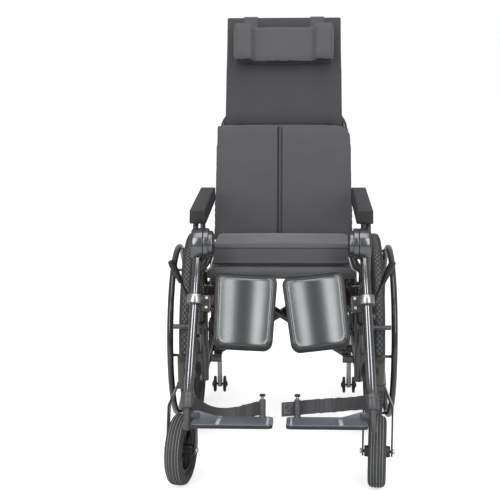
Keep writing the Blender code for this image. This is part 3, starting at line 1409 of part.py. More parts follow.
FRAME_PAINT = finish("black_frame_paint", (0.012, 0.012, 0.013), 0.25)
STEEL = finish("satin_steel", (0.45, 0.45, 0.46), 0.35, 1.0)
GREY_CASTING = finish("grey_casting", (0.17, 0.17, 0.18), 0.45, 0.5)
BLACK_PLASTIC = finish("black_plastic", (0.02, 0.02, 0.021), 0.45)
PAD_VINYL = finish("pad_vinyl", (0.10, 0.10, 0.105), 0.4)
TYRE_RUBBER = finish("tyre_rubber", (0.05, 0.05, 0.052), 0.8)
CHARCOAL_CLOTH = finish("charcoal_cloth", (0.075, 0.075, 0.08), 0.9)
WEBBING = finish("webbing", (0.05, 0.05, 0.052), 0.95)

pair("side_frame", side_frame(), FRAME_PAINT, (FRAME_X, REAR_TUBE_Y, LOWER_RAIL_Z))
cross_braces()
node("seat_sling", seat_sling(), CHARCOAL_CLOTH)
node("seat_cushion", seat_cushion(), CHARCOAL_CLOTH, cushion_hinge())

RECLINE_AXIS = (BACK_POST_X, PIVOT_Y, PIVOT_Z)
LEVER_AXIS = BACK @ Vector((lever_x(), HANDLE_UP - LEVER_DROP, -LINK_WIDTH))
pair("back_post", back_post(), FRAME_PAINT, RECLINE_AXIS)
pair("head_post", head_post(), FRAME_PAINT, RECLINE_AXIS)
pair("push_grip", push_grip(), BLACK_PLASTIC, RECLINE_AXIS)
pair("recline_lever", recline_lever(), BLACK_PLASTIC, LEVER_AXIS)
pair("recline_cylinder", recline_cylinder(), FRAME_PAINT)
pair("recline_rod", recline_rod(), STEEL, link_place())
node("back_pad", back_pad(), CHARCOAL_CLOTH, (0, PIVOT_Y, PIVOT_Z))
node("head_panel", head_panel(), CHARCOAL_CLOTH, (0, PIVOT_Y, PIVOT_Z))
node("headrest_pillow", headrest_pillow(), CHARCOAL_CLOTH, BACK @ Vector((0, PILLOW_BOTTOM, 0)))

pair("armrest_frame", armrest_frame(), FRAME_PAINT, (ARM_X, ARM_FRONT_Y, ARM_SOCKET_TOP))
pair("armrest_pad", armrest_pad(), PAD_VINYL, (ARM_X, ARM_FRONT_Y, ARM_SOCKET_TOP))

WHEEL_AXIS = (TRACK_HALF, 0, AXLE_Z)
pair("rear_tyre", rear_tyre(), TYRE_RUBBER, WHEEL_AXIS)
pair("rear_wheel", rear_wheel(), BLACK_PLASTIC, WHEEL_AXIS)
pair("handrim", handrim(), FRAME_PAINT, WHEEL_AXIS)
casters()

KNUCKLE_AXIS = (LEG_X, KNUCKLE_Y, KNUCKLE_Z)
CALF_AXIS = LEG @ Vector((calf_pad_x(), -CALF_PAD_DOWN, -CALF_ROD_BACK))
FOOT_AXIS = FOOT_HINGE
pair("legrest_hanger", legrest_hanger(), FRAME_PAINT, (SWING_X, SWING_Y, SWING_LUG_HIGH_Z))
pair("leg_tube", leg_tube(), FRAME_PAINT, KNUCKLE_AXIS)
pair("calf_bracket", calf_bracket(), STEEL, KNUCKLE_AXIS)
pair("calf_pad", calf_pad(), PAD_VINYL, CALF_AXIS)
pair("foot_tube", foot_tube(), GREY_CASTING, KNUCKLE_AXIS)
pair("footplate", footplate(), GREY_CASTING, FOOT_AXIS)
pair("heel_strap", heel_strap(), WEBBING, FOOT_AXIS)

pair("brake_lever", brake_lever(), BLACK_PLASTIC, (BRAKE_PIN_END, BRAKE_Y, BRAKE_LEVER_Z))
pair("brake_shoe", brake_shoe(), STEEL, (BRAKE_PIN_END, BRAKE_Y, BRAKE_SHOE_PIVOT_Z))
pair("anti_tip_post", anti_tip_post(), GREY_CASTING, (FRAME_X, ANTI_TIP_POST_Y, LOWER_RAIL_Z))
pair("anti_tip_wheels", anti_tip_wheels(), BLACK_PLASTIC, (FRAME_X, ANTI_TIP_POST_Y, ANTI_TIP_WHEEL_Z))
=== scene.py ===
# %% [markdown]
# # Dressing a reclining wheelchair
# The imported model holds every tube, wheel and pad at its true size and place, with its joints, and it
# stays where it is. This lesson lays over it what the eye looks for: tyres with tread, moulded
# wheels, stuffed cloth with seams, webbing, screws and paint. The chair faces -Y, and its own left
# side is at +X.

# %% Load the fixed frame
import json
import math

import bpy
import numpy as np
from mathutils import Matrix, Vector
from mathutils.bvhtree import BVHTree

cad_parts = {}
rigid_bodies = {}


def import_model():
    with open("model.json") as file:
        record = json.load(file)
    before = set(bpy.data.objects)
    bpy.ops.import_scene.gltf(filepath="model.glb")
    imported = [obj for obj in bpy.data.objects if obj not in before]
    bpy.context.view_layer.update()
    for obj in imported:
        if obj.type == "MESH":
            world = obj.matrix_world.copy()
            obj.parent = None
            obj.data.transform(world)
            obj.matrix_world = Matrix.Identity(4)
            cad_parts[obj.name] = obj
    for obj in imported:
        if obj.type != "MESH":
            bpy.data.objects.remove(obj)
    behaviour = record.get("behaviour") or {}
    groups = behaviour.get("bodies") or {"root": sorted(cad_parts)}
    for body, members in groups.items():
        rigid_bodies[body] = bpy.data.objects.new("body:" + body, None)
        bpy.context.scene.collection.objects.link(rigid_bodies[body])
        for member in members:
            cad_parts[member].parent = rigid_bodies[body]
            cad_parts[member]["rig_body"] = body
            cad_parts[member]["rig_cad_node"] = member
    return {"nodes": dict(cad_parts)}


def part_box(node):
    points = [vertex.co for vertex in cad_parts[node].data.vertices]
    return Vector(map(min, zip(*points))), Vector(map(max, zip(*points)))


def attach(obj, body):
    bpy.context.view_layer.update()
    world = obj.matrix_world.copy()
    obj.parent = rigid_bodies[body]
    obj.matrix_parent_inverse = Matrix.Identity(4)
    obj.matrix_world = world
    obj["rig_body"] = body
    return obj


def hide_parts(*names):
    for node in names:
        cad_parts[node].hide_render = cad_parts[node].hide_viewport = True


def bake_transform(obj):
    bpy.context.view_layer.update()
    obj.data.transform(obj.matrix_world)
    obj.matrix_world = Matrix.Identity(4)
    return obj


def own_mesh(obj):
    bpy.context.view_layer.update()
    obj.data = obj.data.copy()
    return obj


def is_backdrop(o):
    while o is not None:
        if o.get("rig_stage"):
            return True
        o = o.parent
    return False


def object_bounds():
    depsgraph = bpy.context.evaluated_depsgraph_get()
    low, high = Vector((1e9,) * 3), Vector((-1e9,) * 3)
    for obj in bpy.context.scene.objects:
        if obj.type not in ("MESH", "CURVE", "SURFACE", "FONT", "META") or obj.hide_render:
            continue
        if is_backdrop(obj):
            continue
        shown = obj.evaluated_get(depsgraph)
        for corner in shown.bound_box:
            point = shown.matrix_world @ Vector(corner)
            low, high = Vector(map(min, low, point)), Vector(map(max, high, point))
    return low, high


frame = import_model()
CAD_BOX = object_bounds()
tyre_low, tyre_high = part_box("rear_tyre_left")
AXLE = (tyre_low + tyre_high) / 2
print("frame:", len(frame["nodes"]), "nodes; rear axle at", [round(x, 4) for x in AXLE])

# %% [markdown]
# ## The camera
# The picture was taken from in front, about 3.3 m away and from a little above the chair's top. A
# long lens keeps the footplates from looming. The camera was not quite level, so it has a small roll.

# %% Set the camera
CAMERA_PLACE = (0.050, -3.2005, 1.347)
TURN, PITCH, ROLL = [math.radians(degrees) for degrees in (2.57, 77, -0.4)]
LENS = 81.29
bpy.ops.object.select_all(action="DESELECT")
aim = Matrix.Rotation(TURN, 4, "Z") @ Matrix.Rotation(PITCH, 4, "X") @ Matrix.Rotation(ROLL, 4, "Z")
bpy.ops.object.camera_add(location=CAMERA_PLACE, rotation=aim.to_euler())
camera = bpy.context.object
camera.data.lens = LENS
bpy.context.scene.camera = camera
print("camera:", LENS, "mm lens")

# %% [markdown]
# ## Colours and nodes
# Colours are read off a screen as sRGB, and a shader reckons in linear light, so one function turns
# one into the other. Another adds a node, sets its values and links it, so each finish reads as a
# short recipe.

# %% Colour and node helpers
def linear(code):
    """An sRGB hex colour as the linear colour that a shader works with."""
    parts = [int(code[i : i + 2], 16) / 255 for i in (1, 3, 5)]
    return (*[p / 12.92 if p <= 0.04045 else ((p + 0.055) / 1.055) ** 2.4 for p in parts], 1.0)


def add(tree, kind, settings, links):
    """Adds one node. Settings name its sockets or properties, and links give sockets an output."""
    made = tree.nodes.new(kind)
    for name, value in settings.items():
        if name in made.inputs:
            made.inputs[name].default_value = value
        else:
            setattr(made, name, value)
    for name, output in links.items():
        tree.links.new(output, made.inputs[name])
    return made


def begin(name, coordinates="Object", **values):
    """A new material, its tree, its shader with these values set, and its coordinates."""
    material = bpy.data.materials.new(name)
    material.use_nodes = True
    tree = material.node_tree
    shader = tree.nodes["Principled BSDF"]
    for socket, value in values.items():
        shader.inputs[socket.replace("_", " ")].default_value = value
    place = add(tree, "ShaderNodeTexCoord", {}, {}).outputs[coordinates]
    return material, tree, shader, place


print("white is", linear("#ffffff"))

# %% [markdown]
# ## Paint and metal
# The frame is steel tube with a gloss black powder coat. The coat flows out smooth but keeps a faint
# orange peel, which breaks the highlights a little, so the peel is a bump of about 2 mm. The calf
# collars are brushed steel: the brushing is noise that is stretched along one axis. The cast parts
# are painted grey.

# %% Paint and metal finishes
NOISE, CELLS = "ShaderNodeTexNoise", "ShaderNodeTexVoronoi"


def speckled(tree, place, size, dark, light):
    """A colour that drifts between two shades over patches of this size in metres."""
    noise = add(tree, NOISE, {"Scale": 1 / size, "Detail": 5.0}, {"Vector": place})
    shades = {"Color1": linear(dark), "Color2": linear(light)}
    return add(tree, "ShaderNodeMixRGB", shades, {"Fac": noise.outputs["Fac"]}).outputs["Color"]


def coated(tree, shader, colour, height=None, depth=0.0, strength=1.0):
    """Links a colour to the shader and, where a height is given, a relief of this depth in metres."""
    tree.links.new(colour, shader.inputs["Base Color"])
    if height is not None:
        values = {"Strength": strength, "Distance": depth}
        bump = add(tree, "ShaderNodeBump", values, {"Height": height})
        tree.links.new(bump.outputs["Normal"], shader.inputs["Normal"])


def finish(name, patch, shades, texture, grain, depth, strength, **values):
    """A finish in two shades over patches, its skin raised by a texture with this grain."""
    material, tree, shader, place = begin(name, **values)
    skin = add(tree, texture, grain, {"Vector": place}).outputs[0]
    coated(tree, shader, speckled(tree, place, patch, *shades), skin, depth, strength)
    return material


# Powder-coated steel: a hard, wet-looking soft black, a little warm, with clean white highlights.
grain = {"Scale": 1 / 0.002, "Detail": 1.0}
paint = finish(
    "powder_coated_steel", 0.05, ("#2a2827", "#383533"), NOISE, grain, 0.00012, 0.35,
    Roughness=0.16, Coat_Weight=0.4, Coat_Roughness=0.06,
)

# Brushed steel: a soft grey shine with fine scratches round the part.
steel, tree, shader, place = begin("brushed_steel", Metallic=1.0)
stretch = add(tree, "ShaderNodeMapping", {"Scale": (1.0, 1.0, 14.0)}, {"Vector": place})
scratch = add(tree, NOISE, {"Scale": 1 / 0.012}, {"Vector": stretch.outputs["Vector"]}).outputs["Fac"]
spread = add(tree, "ShaderNodeMapRange", {"To Min": 0.22, "To Max": 0.42}, {"Value": scratch})
tree.links.new(spread.outputs["Result"], shader.inputs["Roughness"])
coated(tree, shader, speckled(tree, place, 0.02, "#9a9b9d", "#bcbdbe"), scratch, 0.00008, 0.3)

# Dull steel: the anti-tip posts, plated and wiped, with little shine.
dull_steel, tree, shader, place = begin("dull_steel", Metallic=0.35, Roughness=0.5)
streak = add(tree, "ShaderNodeMapping", {"Scale": (1.0, 1.0, 0.1)}, {"Vector": place})
wipe = add(tree, NOISE, {"Scale": 1 / 0.002}, {"Vector": streak.outputs["Vector"]}).outputs["Fac"]
coated(tree, shader, speckled(tree, place, 0.01, "#b4b6b7", "#c8caca"), wipe, 0.00008, 0.3)

# Painted casting: blue-grey with a metal flake, a satin skin and a trace of the mould.
grain = {"Scale": 1 / 0.0015, "Detail": 2.0}
shades = ("#60656d", "#777d86")
casting = finish(
    "painted_casting", 0.0025, shades, NOISE, grain, 0.0001, 0.4, Roughness=0.36, Metallic=0.35
)

# Grey paint: the foot tubes, clamps, brake shoes and strap posts, neutral with the same satin skin.
shades = ("#47474a", "#555558")
pewter = finish("grey_paint", 0.004, shades, NOISE, grain, 0.0001, 0.4, Roughness=0.4, Metallic=0.2)

# Black anodised aluminium: the leg tubes, a dark mirror that draws each soft box as a white line.
grain = {"Scale": 1 / 0.003, "Detail": 1.0}
shades = ("#707173", "#7d7e81")
anodised = finish(
    "black_anodised_aluminium", 0.03, shades, NOISE, grain, 0.00001, 0.05, Roughness=0.14, Metallic=1.0
)

# Zinc-plated screws: a small cold sparkle.
zinc, tree, shader, place = begin("zinc_plate", Metallic=1.0, Roughness=0.30)
coated(tree, shader, speckled(tree, place, 0.004, "#a5a7a8", "#d0d1d0"))
print("finishes:", paint.name, steel.name, casting.name, zinc.name)

# %% [markdown]
# ## Plastic, rubber and vinyl
# Moulded plastic has a fine pebbled skin that scatters the highlight. Tyre rubber is dull, and its
# surface is a dusty grey in patches. Pale rings in the caster grooves and pale strips on the footplates
# are painted highlight. The calf pads are skinned in a smooth vinyl foam that shows the room as broad
# bands.

# %% Plastic, rubber and vinyl finishes
# Moulded nylon: near black with a pebbled, half-dull skin.
pebble = {"Scale": 1 / 0.0012}
shades = ("#18181a", "#242527")
plastic = finish("moulded_nylon", 0.03, shades, CELLS, pebble, 0.00012, 0.5, Roughness=0.42)

# Painted highlight: light grey strips on the footplates, where the plate catches a line of light.
shades = ("#a6a8aa", "#bcbec0")
strip_highlight = finish("pale_insert", 0.01, shades, CELLS, pebble, 0.00006, 0.4, Roughness=0.4)

# Tyre rubber: a dull dark grey, dusty in patches.
grain = {"Scale": 1 / 0.001, "Detail": 3.0}
shades = ("#2d2e2f", "#424344")
rubber = finish("tyre_rubber", 0.012, shades, NOISE, grain, 0.0002, 0.5, Roughness=0.72)

# Painted highlight: pale grey rings in the grooves of a caster tyre, where the groove edges
# catch the light.
shades = ("#838484", "#a0a1a1")
groove_highlight = finish("bloomed_rubber", 0.006, shades, NOISE, grain, 0.0001, 0.4, Roughness=0.8)

# Pearl vinyl skin: graphite with a metal lustre, so that the dish shows light and dark bands.
grain = {"Scale": 1 / 0.02, "Detail": 1.0}
shades = ("#565859", "#626464")
vinyl = finish("pearl_vinyl", 0.05, shades, NOISE, grain, 0.0004, 0.1, Roughness=0.27, Metallic=0.9)

# Satin housing: the round knuckles, charcoal with a metal lustre and broad soft highlights.
pebble = {"Scale": 1 / 0.001}
shades = ("#5e5f61", "#6c6d6f")
housing = finish(
    "satin_housing", 0.02, shades, CELLS, pebble, 0.00008, 0.4, Roughness=0.22, Metallic=0.85
)
print("finishes:", plastic.name, rubber.name, vinyl.name, housing.name)

# %% [markdown]
# ## Cloth
# The pads are covered in charcoal nylon, a plain weave. Its threads are about 0.6 mm wide, too fine
# for this distance, so they are drawn 2 mm wide. Two crossed waves make the weave. They follow the
# piece's own UV map, so that the threads stay with the cloth when it folds. A little sheen lifts the
# edges, as lint does.

# %% Cloth finishes
def woven(name, dark, light, across, along, sheen):
    """A plain weave with threads of these widths in metres."""
    sheens = {"Sheen_Weight": sheen, "Sheen_Roughness": 0.4}
    material, tree, shader, place = begin(name, "UV", Roughness=0.85, **sheens)
    waves = []
    for direction, width in (("X", across), ("Y", along)):
        values = {"Scale": 1 / (width * 20) * math.tau, "bands_direction": direction}
        waves.append(add(tree, "ShaderNodeTexWave", values, {"Vector": place}).outputs["Fac"])
    weave = add(tree, "ShaderNodeMath", {"operation": "MULTIPLY"}, {})
    for i, wave in enumerate(waves):
        tree.links.new(wave, weave.inputs[i])
    drift = speckled(tree, place, 0.06, dark, light)
    height = weave.outputs[0]
    shade = add(tree, "ShaderNodeMapRange", {"To Min": 0.86, "To Max": 1.10}, {"Value": height})
    scaled = {"Vector": drift, "Scale": shade.outputs[0]}
    lit = add(tree, "ShaderNodeVectorMath", {"operation": "SCALE"}, scaled)
    coated(tree, shader, lit.outputs[0], height, 0.0003, 0.35)
    return material


cloth = woven("charcoal_nylon", "#48484b", "#525254", 0.002, 0.002, 0.25)
# A darker copy of the same nylon, painted shade on the head panel. The cushion piping takes it too.
shaded_cloth = woven("charcoal_panel_nylon", "#38383b", "#404042", 0.002, 0.002, 0.2)
webbing = woven("webbing", "#424244", "#504f51", 0.004, 0.0015, 0.25)
# A near-black cloth that is painted shade: down a back seam groove, along the head panel's joint and
# under the pillow.
shade_black_cloth = woven("black_lining", "#131314", "#1b1b1c", 0.002, 0.002, 0.1)
pale_thread = woven("pale_thread", "#77777a", "#868689", 0.001, 0.001, 0.0)
thread = woven("sewing_thread", "#29292b", "#343436", 0.001, 0.001, 0.0)
print("cloth:", cloth.name, webbing.name, shade_black_cloth.name, thread.name)

# %% [markdown]
# ## The studio
# The picture has a plain white ground. A world that is white to the camera alone gives that, while
# the light that falls on the chair stays at a plain level. Two tall soft boxes stand high in front,
# left and right. Each draws one white line down a gloss tube and one band on a dished calf pad, which
# lean back and so look upwards. A large box overhead lights the cushions. The floor's lift to white
# is for the camera alone too.

# %% World, lights and floor
WHITE, ROOM_GREY = (1.0, 1.0, 1.0, 1.0), (0.42, 0.425, 0.43, 1.0)
FLOOR_LIFT = 0.62
world = bpy.data.worlds.new("studio")
bpy.context.scene.world = world
world.use_nodes = True
tree = world.node_tree
room = tree.nodes["Background"]
room.inputs["Color"].default_value = ROOM_GREY
ground = add(tree, "ShaderNodeBackground", {"Color": WHITE, "Strength": 1.0}, {})
path = add(tree, "ShaderNodeLightPath", {}, {})
choice = add(tree, "ShaderNodeMixShader", {}, {"Fac": path.outputs["Is Camera Ray"]})
tree.links.new(room.outputs[0], choice.inputs[1])
tree.links.new(ground.outputs[0], choice.inputs[2])
tree.links.new(choice.outputs[0], tree.nodes["World Output"].inputs["Surface"])


def softbox(name, place, target, size, watts):
    """A rectangular soft box that looks at the target."""
    bpy.ops.object.select_all(action="DESELECT")
    look = (Vector(target) - Vector(place)).to_track_quat("-Z", "Y").to_euler()
    bpy.ops.object.light_add(type="AREA", location=place, rotation=look)
    lamp = bpy.context.object
    lamp.name = name
    lamp.data.shape = "RECTANGLE"
    lamp.data.size, lamp.data.size_y = size
    lamp.data.energy = watts


softbox("box_left", (-1.8, -2.9, 2.4), (0, -0.1, 0.6), (1.1, 2.8), 62)
softbox("box_right", (1.85, -2.85, 2.4), (0, -0.1, 0.6), (1.1, 2.8), 56)
softbox("box_top", (0.0, -0.7, 3.2), (0, 0.1, 0.5), (2.4, 1.8), 40)
bpy.ops.object.select_all(action="DESELECT")
bpy.ops.mesh.primitive_plane_add(size=40, location=(0, 10.0, 0))
floor = bpy.context.object
floor.name = "floor"
white, tree, shader, place = begin("white_floor", Roughness=0.9, Emission_Color=WHITE)
path = add(tree, "ShaderNodeLightPath", {}, {})
lift = add(tree, "ShaderNodeMath", {"operation": "MULTIPLY"}, {0: path.outputs["Is Camera Ray"]})
lift.inputs[1].default_value = FLOOR_LIFT
tree.links.new(lift.outputs[0], shader.inputs["Emission Strength"])
coated(tree, shader, speckled(tree, place, 2.0, "#f2f2f2", "#f7f7f7"))
floor.data.materials.append(white)
floor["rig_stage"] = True
bpy.context.scene.view_settings.view_transform = "Standard"
print("studio: three soft boxes and a floor of", floor.dimensions.x, "m")

# %% [markdown]
# ## Shaping tools
# Every piece below starts from a primitive and is worked in edit mode. These few helpers are the
# moves that come back: select one object alone, fix its placing, soften its edges, smooth its
# shading, hang it on a body of the frame, and make the mirrored piece for the right side.

# %% Helpers that handle an object
def only(obj):
    """Selects this object and nothing else."""
    bpy.ops.object.select_all(action="DESELECT")
    obj.select_set(True)
    bpy.context.view_layer.objects.active = obj
    return obj


def moved(obj, matrix):
    """Moves the object by a matrix and writes the move into its mesh."""
    bpy.context.view_layer.update()
    obj.matrix_world = matrix @ obj.matrix_world
    only(obj)
    bpy.ops.object.transform_apply(location=True, rotation=True, scale=True)
    return obj


def pick(obj, test):
    """Opens edit mode with the faces selected whose centre and normal pass the test."""
    only(obj)
    bpy.ops.object.mode_set(mode="EDIT")
    bpy.ops.mesh.select_mode(type="FACE")
    bpy.ops.mesh.select_all(action="DESELECT")
    bpy.ops.object.mode_set(mode="OBJECT")
    for face in obj.data.polygons:
        face.select = test(face.center, face.normal)
    bpy.ops.object.mode_set(mode="EDIT")


def everything(centre, normal):
    """The test that every face passes."""
    return True


def done():
    """Leaves edit mode and hands back the object."""
    bpy.ops.object.mode_set(mode="OBJECT")
    return bpy.context.object


def cleaned(obj):
    """Merges doubled points and turns every face outwards."""
    pick(obj, everything)
    bpy.ops.mesh.remove_doubles(threshold=1e-6)
    bpy.ops.mesh.normals_make_consistent(inside=False)
    return done()


def applied(obj, kind, **values):
    """Gives the object a modifier with these values and applies it."""
    only(obj)
    change = obj.modifiers.new(kind.lower(), kind)
    for name, value in values.items():
        setattr(change, name, value)
    bpy.ops.object.modifier_apply(modifier=change.name)
    return obj


def softened(obj, width, segments=2, degrees=35):
    """Rounds the edges that are sharper than the angle, then smooths the shading."""
    limit = math.radians(degrees)
    applied(obj, "BEVEL", width=width, segments=segments, angle_limit=limit)
    bpy.ops.object.shade_smooth_by_angle(angle=limit)
    return obj


def copied(obj, matrix, name=None):
    """A copy with its own mesh, moved by the matrix."""
    only(obj)
    bpy.ops.object.duplicate()
    copy = bpy.context.object
    copy.name = name or obj.name
    return moved(copy, matrix)


def joined(name, *pieces):
    """Joins the pieces into the first."""
    only(pieces[0])
    for piece in pieces[1:]:
        piece.select_set(True)
    if len(pieces) > 1:
        bpy.ops.object.join()
    pieces[0].name = name
    return pieces[0]


def lay(obj, material, body, slot, *nodes):
    """Gives the piece its finish and hangs it on a body of the frame, in place of these nodes."""
    obj.data.materials.clear()
    obj.data.materials.append(material)
    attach(obj, body)
    if nodes:
        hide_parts(*nodes)
    return obj


MIRROR = Matrix.Scale(-1, 4, (1, 0, 0))


def both(obj, material, body, slot, *nodes):
    """Lays the left piece and its mirrored copy. {} in a name stands for the side."""
    right = cleaned(copied(obj, MIRROR, obj.name.replace("left", "right")))
    for piece, side in ((obj, "left"), (right, "right")):
        lay(piece, material, body.format(side), slot, *[node.format(side) for node in nodes])
    return obj, right


# %% Helpers that make a stock shape
def stock(name):
    """Names the object that was just added."""
    bpy.context.object.name = name
    return bpy.context.object


def block(name, low, high):
    """A cube at its size and place."""
    bpy.ops.object.select_all(action="DESELECT")
    low, high = Vector(low), Vector(high)
    bpy.ops.mesh.primitive_cube_add(size=1, location=(low + high) / 2, scale=high - low)
    return moved(stock(name), Matrix())


def drawn(name, points):
    """In edit mode, one point pulled along a line of points."""
    bpy.ops.object.select_all(action="DESELECT")
    bpy.ops.mesh.primitive_plane_add(size=0.01)
    stock(name)
    bpy.ops.object.mode_set(mode="EDIT")
    bpy.ops.mesh.select_mode(type="VERT")
    bpy.ops.mesh.select_all(action="SELECT")
    bpy.ops.mesh.merge(type="CENTER")
    bpy.ops.transform.translate(value=points[0])
    for last, point in zip(points, points[1:]):
        step = Vector(point) - Vector(last)
        bpy.ops.mesh.extrude_region_move(TRANSFORM_OT_translate={"value": step})
    bpy.ops.mesh.select_all(action="SELECT")


def turned(name, profile, place=Matrix(), steps=64):
    """A lathe. The profile's (place along X, radius) points are drawn, then spun about X."""
    drawn(name, [(x, 0, radius) for x, radius in profile])
    bpy.ops.mesh.spin(steps=steps, angle=math.tau, center=(0, 0, 0), axis=(1, 0, 0))
    done()
    return moved(cleaned(bpy.context.object), place)


def mirrored(half):
    """A lathe profile and its reflection, closed to a ring."""
    profile = half + [(-x, radius) for x, radius in reversed(half)]
    return profile + profile[:1]


def ring_of(low, high, inner, outer):
    """The closed lathe profile of a plain ring."""
    return [(low, inner), (low, outer), (high, outer), (high, inner), (low, inner)]


def rod_of(low, high, radius):
    """The lathe profile of a plain round rod."""
    return [(low, 0.0), (low, radius), (high, radius), (high, 0.0)]


def sawn(name, outline, thickness, place=Matrix()):
    """A plate sawn to an outline in XY, its thickness centred on Z."""
    drawn(name, [(x, y, -thickness / 2) for x, y in outline])
    bpy.ops.mesh.edge_face_add()
    bpy.ops.mesh.extrude_region_move(TRANSFORM_OT_translate={"value": (0, 0, thickness)})
    done()
    return moved(cleaned(bpy.context.object), place)


def eased(corners, bend, steps=8):
    """The corners of a path rounded off, each from this far before it to as far after it."""
    points = [Vector(corners[0])]
    for before, corner, after in zip(corners, corners[1:], corners[2:]):
        corner = Vector(corner)
        start = corner + (Vector(before) - corner).normalized() * bend
        end = corner + (Vector(after) - corner).normalized() * bend
        for i in range(steps + 1):
            t = i / steps
            points.append(start.lerp(corner, t).lerp(corner.lerp(end, t), t))
    return points + [Vector(corners[-1])]


def bent(name, points, radius, place=Matrix()):
    """A round bar along a path: a curve with a round section, turned into a mesh."""
    bpy.ops.object.select_all(action="DESELECT")
    bpy.ops.curve.primitive_bezier_curve_add()
    curve = stock(name).data
    curve.splines.clear()
    line = curve.splines.new("POLY")
    line.points.add(len(points) - 1)
    for spot, point in zip(line.points, points):
        spot.co = (*point, 1)
    curve.bevel_depth = radius
    curve.bevel_resolution = 6
    curve.use_fill_caps = True
    bpy.ops.object.convert(target="MESH")
    return softened(moved(cleaned(bpy.context.object), place), radius * 0.12)


def leaning(origin, angle, splay=0.0):
    """A frame with x across, y up and leaning back by the angle, and z forwards."""
    tilt = Matrix.Rotation(splay, 4, "Y") @ Matrix.Rotation(math.pi / 2 - angle, 4, "X")
    return Matrix.Translation(origin) @ tilt


ALONG_Y = Matrix.Rotation(math.pi / 2, 4, "Z")
ALONG_Z = Matrix.Rotation(-math.pi / 2, 4, "Y")
BACK = leaning((0, AXLE.y + 0.020, 0.535), math.radians(15))
LEG = leaning((0.224, AXLE.y - 0.417, 0.6745), math.radians(28), math.radians(-2.5))
FOOT_HINGE = LEG @ Vector((0, -0.504, 0)) + Vector((-0.0244, 0.0276, 0.0321))
FOOT = leaning(FOOT_HINGE, math.radians(12))
print("leg hinge", [round(x, 3) for x in LEG.translation])
print("foot hinge", [round(x, 3) for x in FOOT_HINGE])

# %% [markdown]
# ## The tubes and small ironwork
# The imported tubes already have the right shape, but their facets are loose triangles with flat
# shading. A copy of each is merged, its flat triangles are dissolved, its hard edges get a small
# radius as real metal has, and the round faces are shaded smooth. The copies then stand in for the
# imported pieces.

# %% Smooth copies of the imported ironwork
def dressed(node, material, slot, edge=0.0006):
    """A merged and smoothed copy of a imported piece, in its place."""
    source = frame["nodes"][node]
    body = source["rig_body"]
    only(source)
    bpy.ops.object.duplicate()
    bpy.ops.object.parent_clear(type="CLEAR_KEEP_TRANSFORM")
    piece = stock(node + "_finish")
    del piece["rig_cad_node"]
    pick(piece, everything)
    bpy.ops.mesh.remove_doubles(threshold=1e-5)
    bpy.ops.mesh.dissolve_limited(angle_limit=math.radians(0.5))
    bpy.ops.mesh.normals_make_consistent(inside=False)
    done()
    return lay(softened(piece, edge, 2, 45), material, body, slot, node)


ironwork = {
    "side_frame": (paint, "frame_paint"),
    "back_post": (paint, "frame_paint"),
    "head_post": (paint, "satin_steel"),
    "recline_cylinder": (paint, "frame_paint"),
    "recline_rod": (steel, "satin_steel"),
    "recline_lever": (plastic, "black_plastic"),
    "armrest_frame": (paint, "frame_paint"),
    "caster_fork": (paint, "frame_paint"),
    "foot_tube": (pewter, "grey_casting"),
    "brake_lever": (plastic, "black_plastic"),
    "brake_shoe": (pewter, "satin_steel"),
    "anti_tip_post": (dull_steel, "satin_steel"),
}
for name, (material, slot) in ironwork.items():
    for side in ("left", "right"):
        dressed(f"{name}_{side}", material, slot)
for name in ("cross_brace_front", "cross_brace_rear"):
    dressed(name, paint, "frame_paint")
print("smooth copies:", 2 * len(ironwork) + 2)

# %% [markdown]
# ## The rear tyres
# A pneumatic tyre is a round tube with rows of small rubber blocks moulded across its crown. The
# section is drawn once and spun. Then every second face of the crown, in a chequer, is inset and
# raised: that gives the blocks and the grooves between them in one move, with no texture.

# %% Rear tyres with tread
TREAD_STEPS = 216
tread_rows = (-0.0142, -0.0088, -0.0032, 0.0032, 0.0088)
side = [(-0.0125, 0.2693), (-0.0166, 0.2765), (-0.0184, 0.2855), (-0.0176, 0.2940)]
side += [(-0.0142, 0.2996), (-0.0088, 0.3020), (-0.0032, 0.3026)]
tyre = turned("rear_tyre_left_tread", mirrored(side), steps=TREAD_STEPS)


def tread_block(centre, normal):
    turn = int(math.atan2(centre.z, centre.y) / math.tau * TREAD_STEPS + TREAD_STEPS)
    row = sum(centre.x > x for x in tread_rows)
    return math.hypot(centre.y, centre.z) > 0.3005 and (turn + row) % 2 == 0


# Tread rubber: the tops of the blocks are scuffed lighter, picked out by their distance from the axle.
tread_rubber, tree, shader, place = begin("tread_rubber", Roughness=0.6)
spoke_way = add(tree, "ShaderNodeVectorMath", {"operation": "MULTIPLY_ADD"}, {"Vector": place})
spoke_way.inputs[1].default_value = (0, 1, 1)
spoke_way.inputs[2].default_value = (0, -AXLE.y, -AXLE.z)
far = add(tree, "ShaderNodeVectorMath", {"operation": "LENGTH"}, {"Vector": spoke_way.outputs[0]})
tops = {"From Min": 0.3030, "From Max": 0.3036}
scuff = add(tree, "ShaderNodeMapRange", tops, {"Value": far.outputs["Value"]})
dust = speckled(tree, place, 0.012, "#29292b", "#3a3b3c")
mixed = {"Fac": scuff.outputs[0], "Color1": dust}
worn = add(tree, "ShaderNodeMixRGB", {"Color2": linear("#656666")}, mixed)
coated(tree, shader, worn.outputs[0])
pick(tyre, tread_block)
bpy.ops.mesh.inset(thickness=0.0008, depth=0.0012, use_individual=True)
tyre = softened(moved(done(), Matrix.Translation(AXLE)), 0.0002, 1, 60)
both(tyre, tread_rubber, "wheel_{}", "tyre_rubber", "rear_tyre_{}")
print("tyre:", len(tyre.data.polygons), "faces")

# %% [markdown]
# ## The rear wheels
# The wheel is one moulding of black nylon: a channel rim, six broad spokes with a sunk face, and a
# hub. One spoke is cut from a block: it is sliced into rings, drawn in at the waist, and both faces
# are inset and pushed in. It is then copied round the hub.

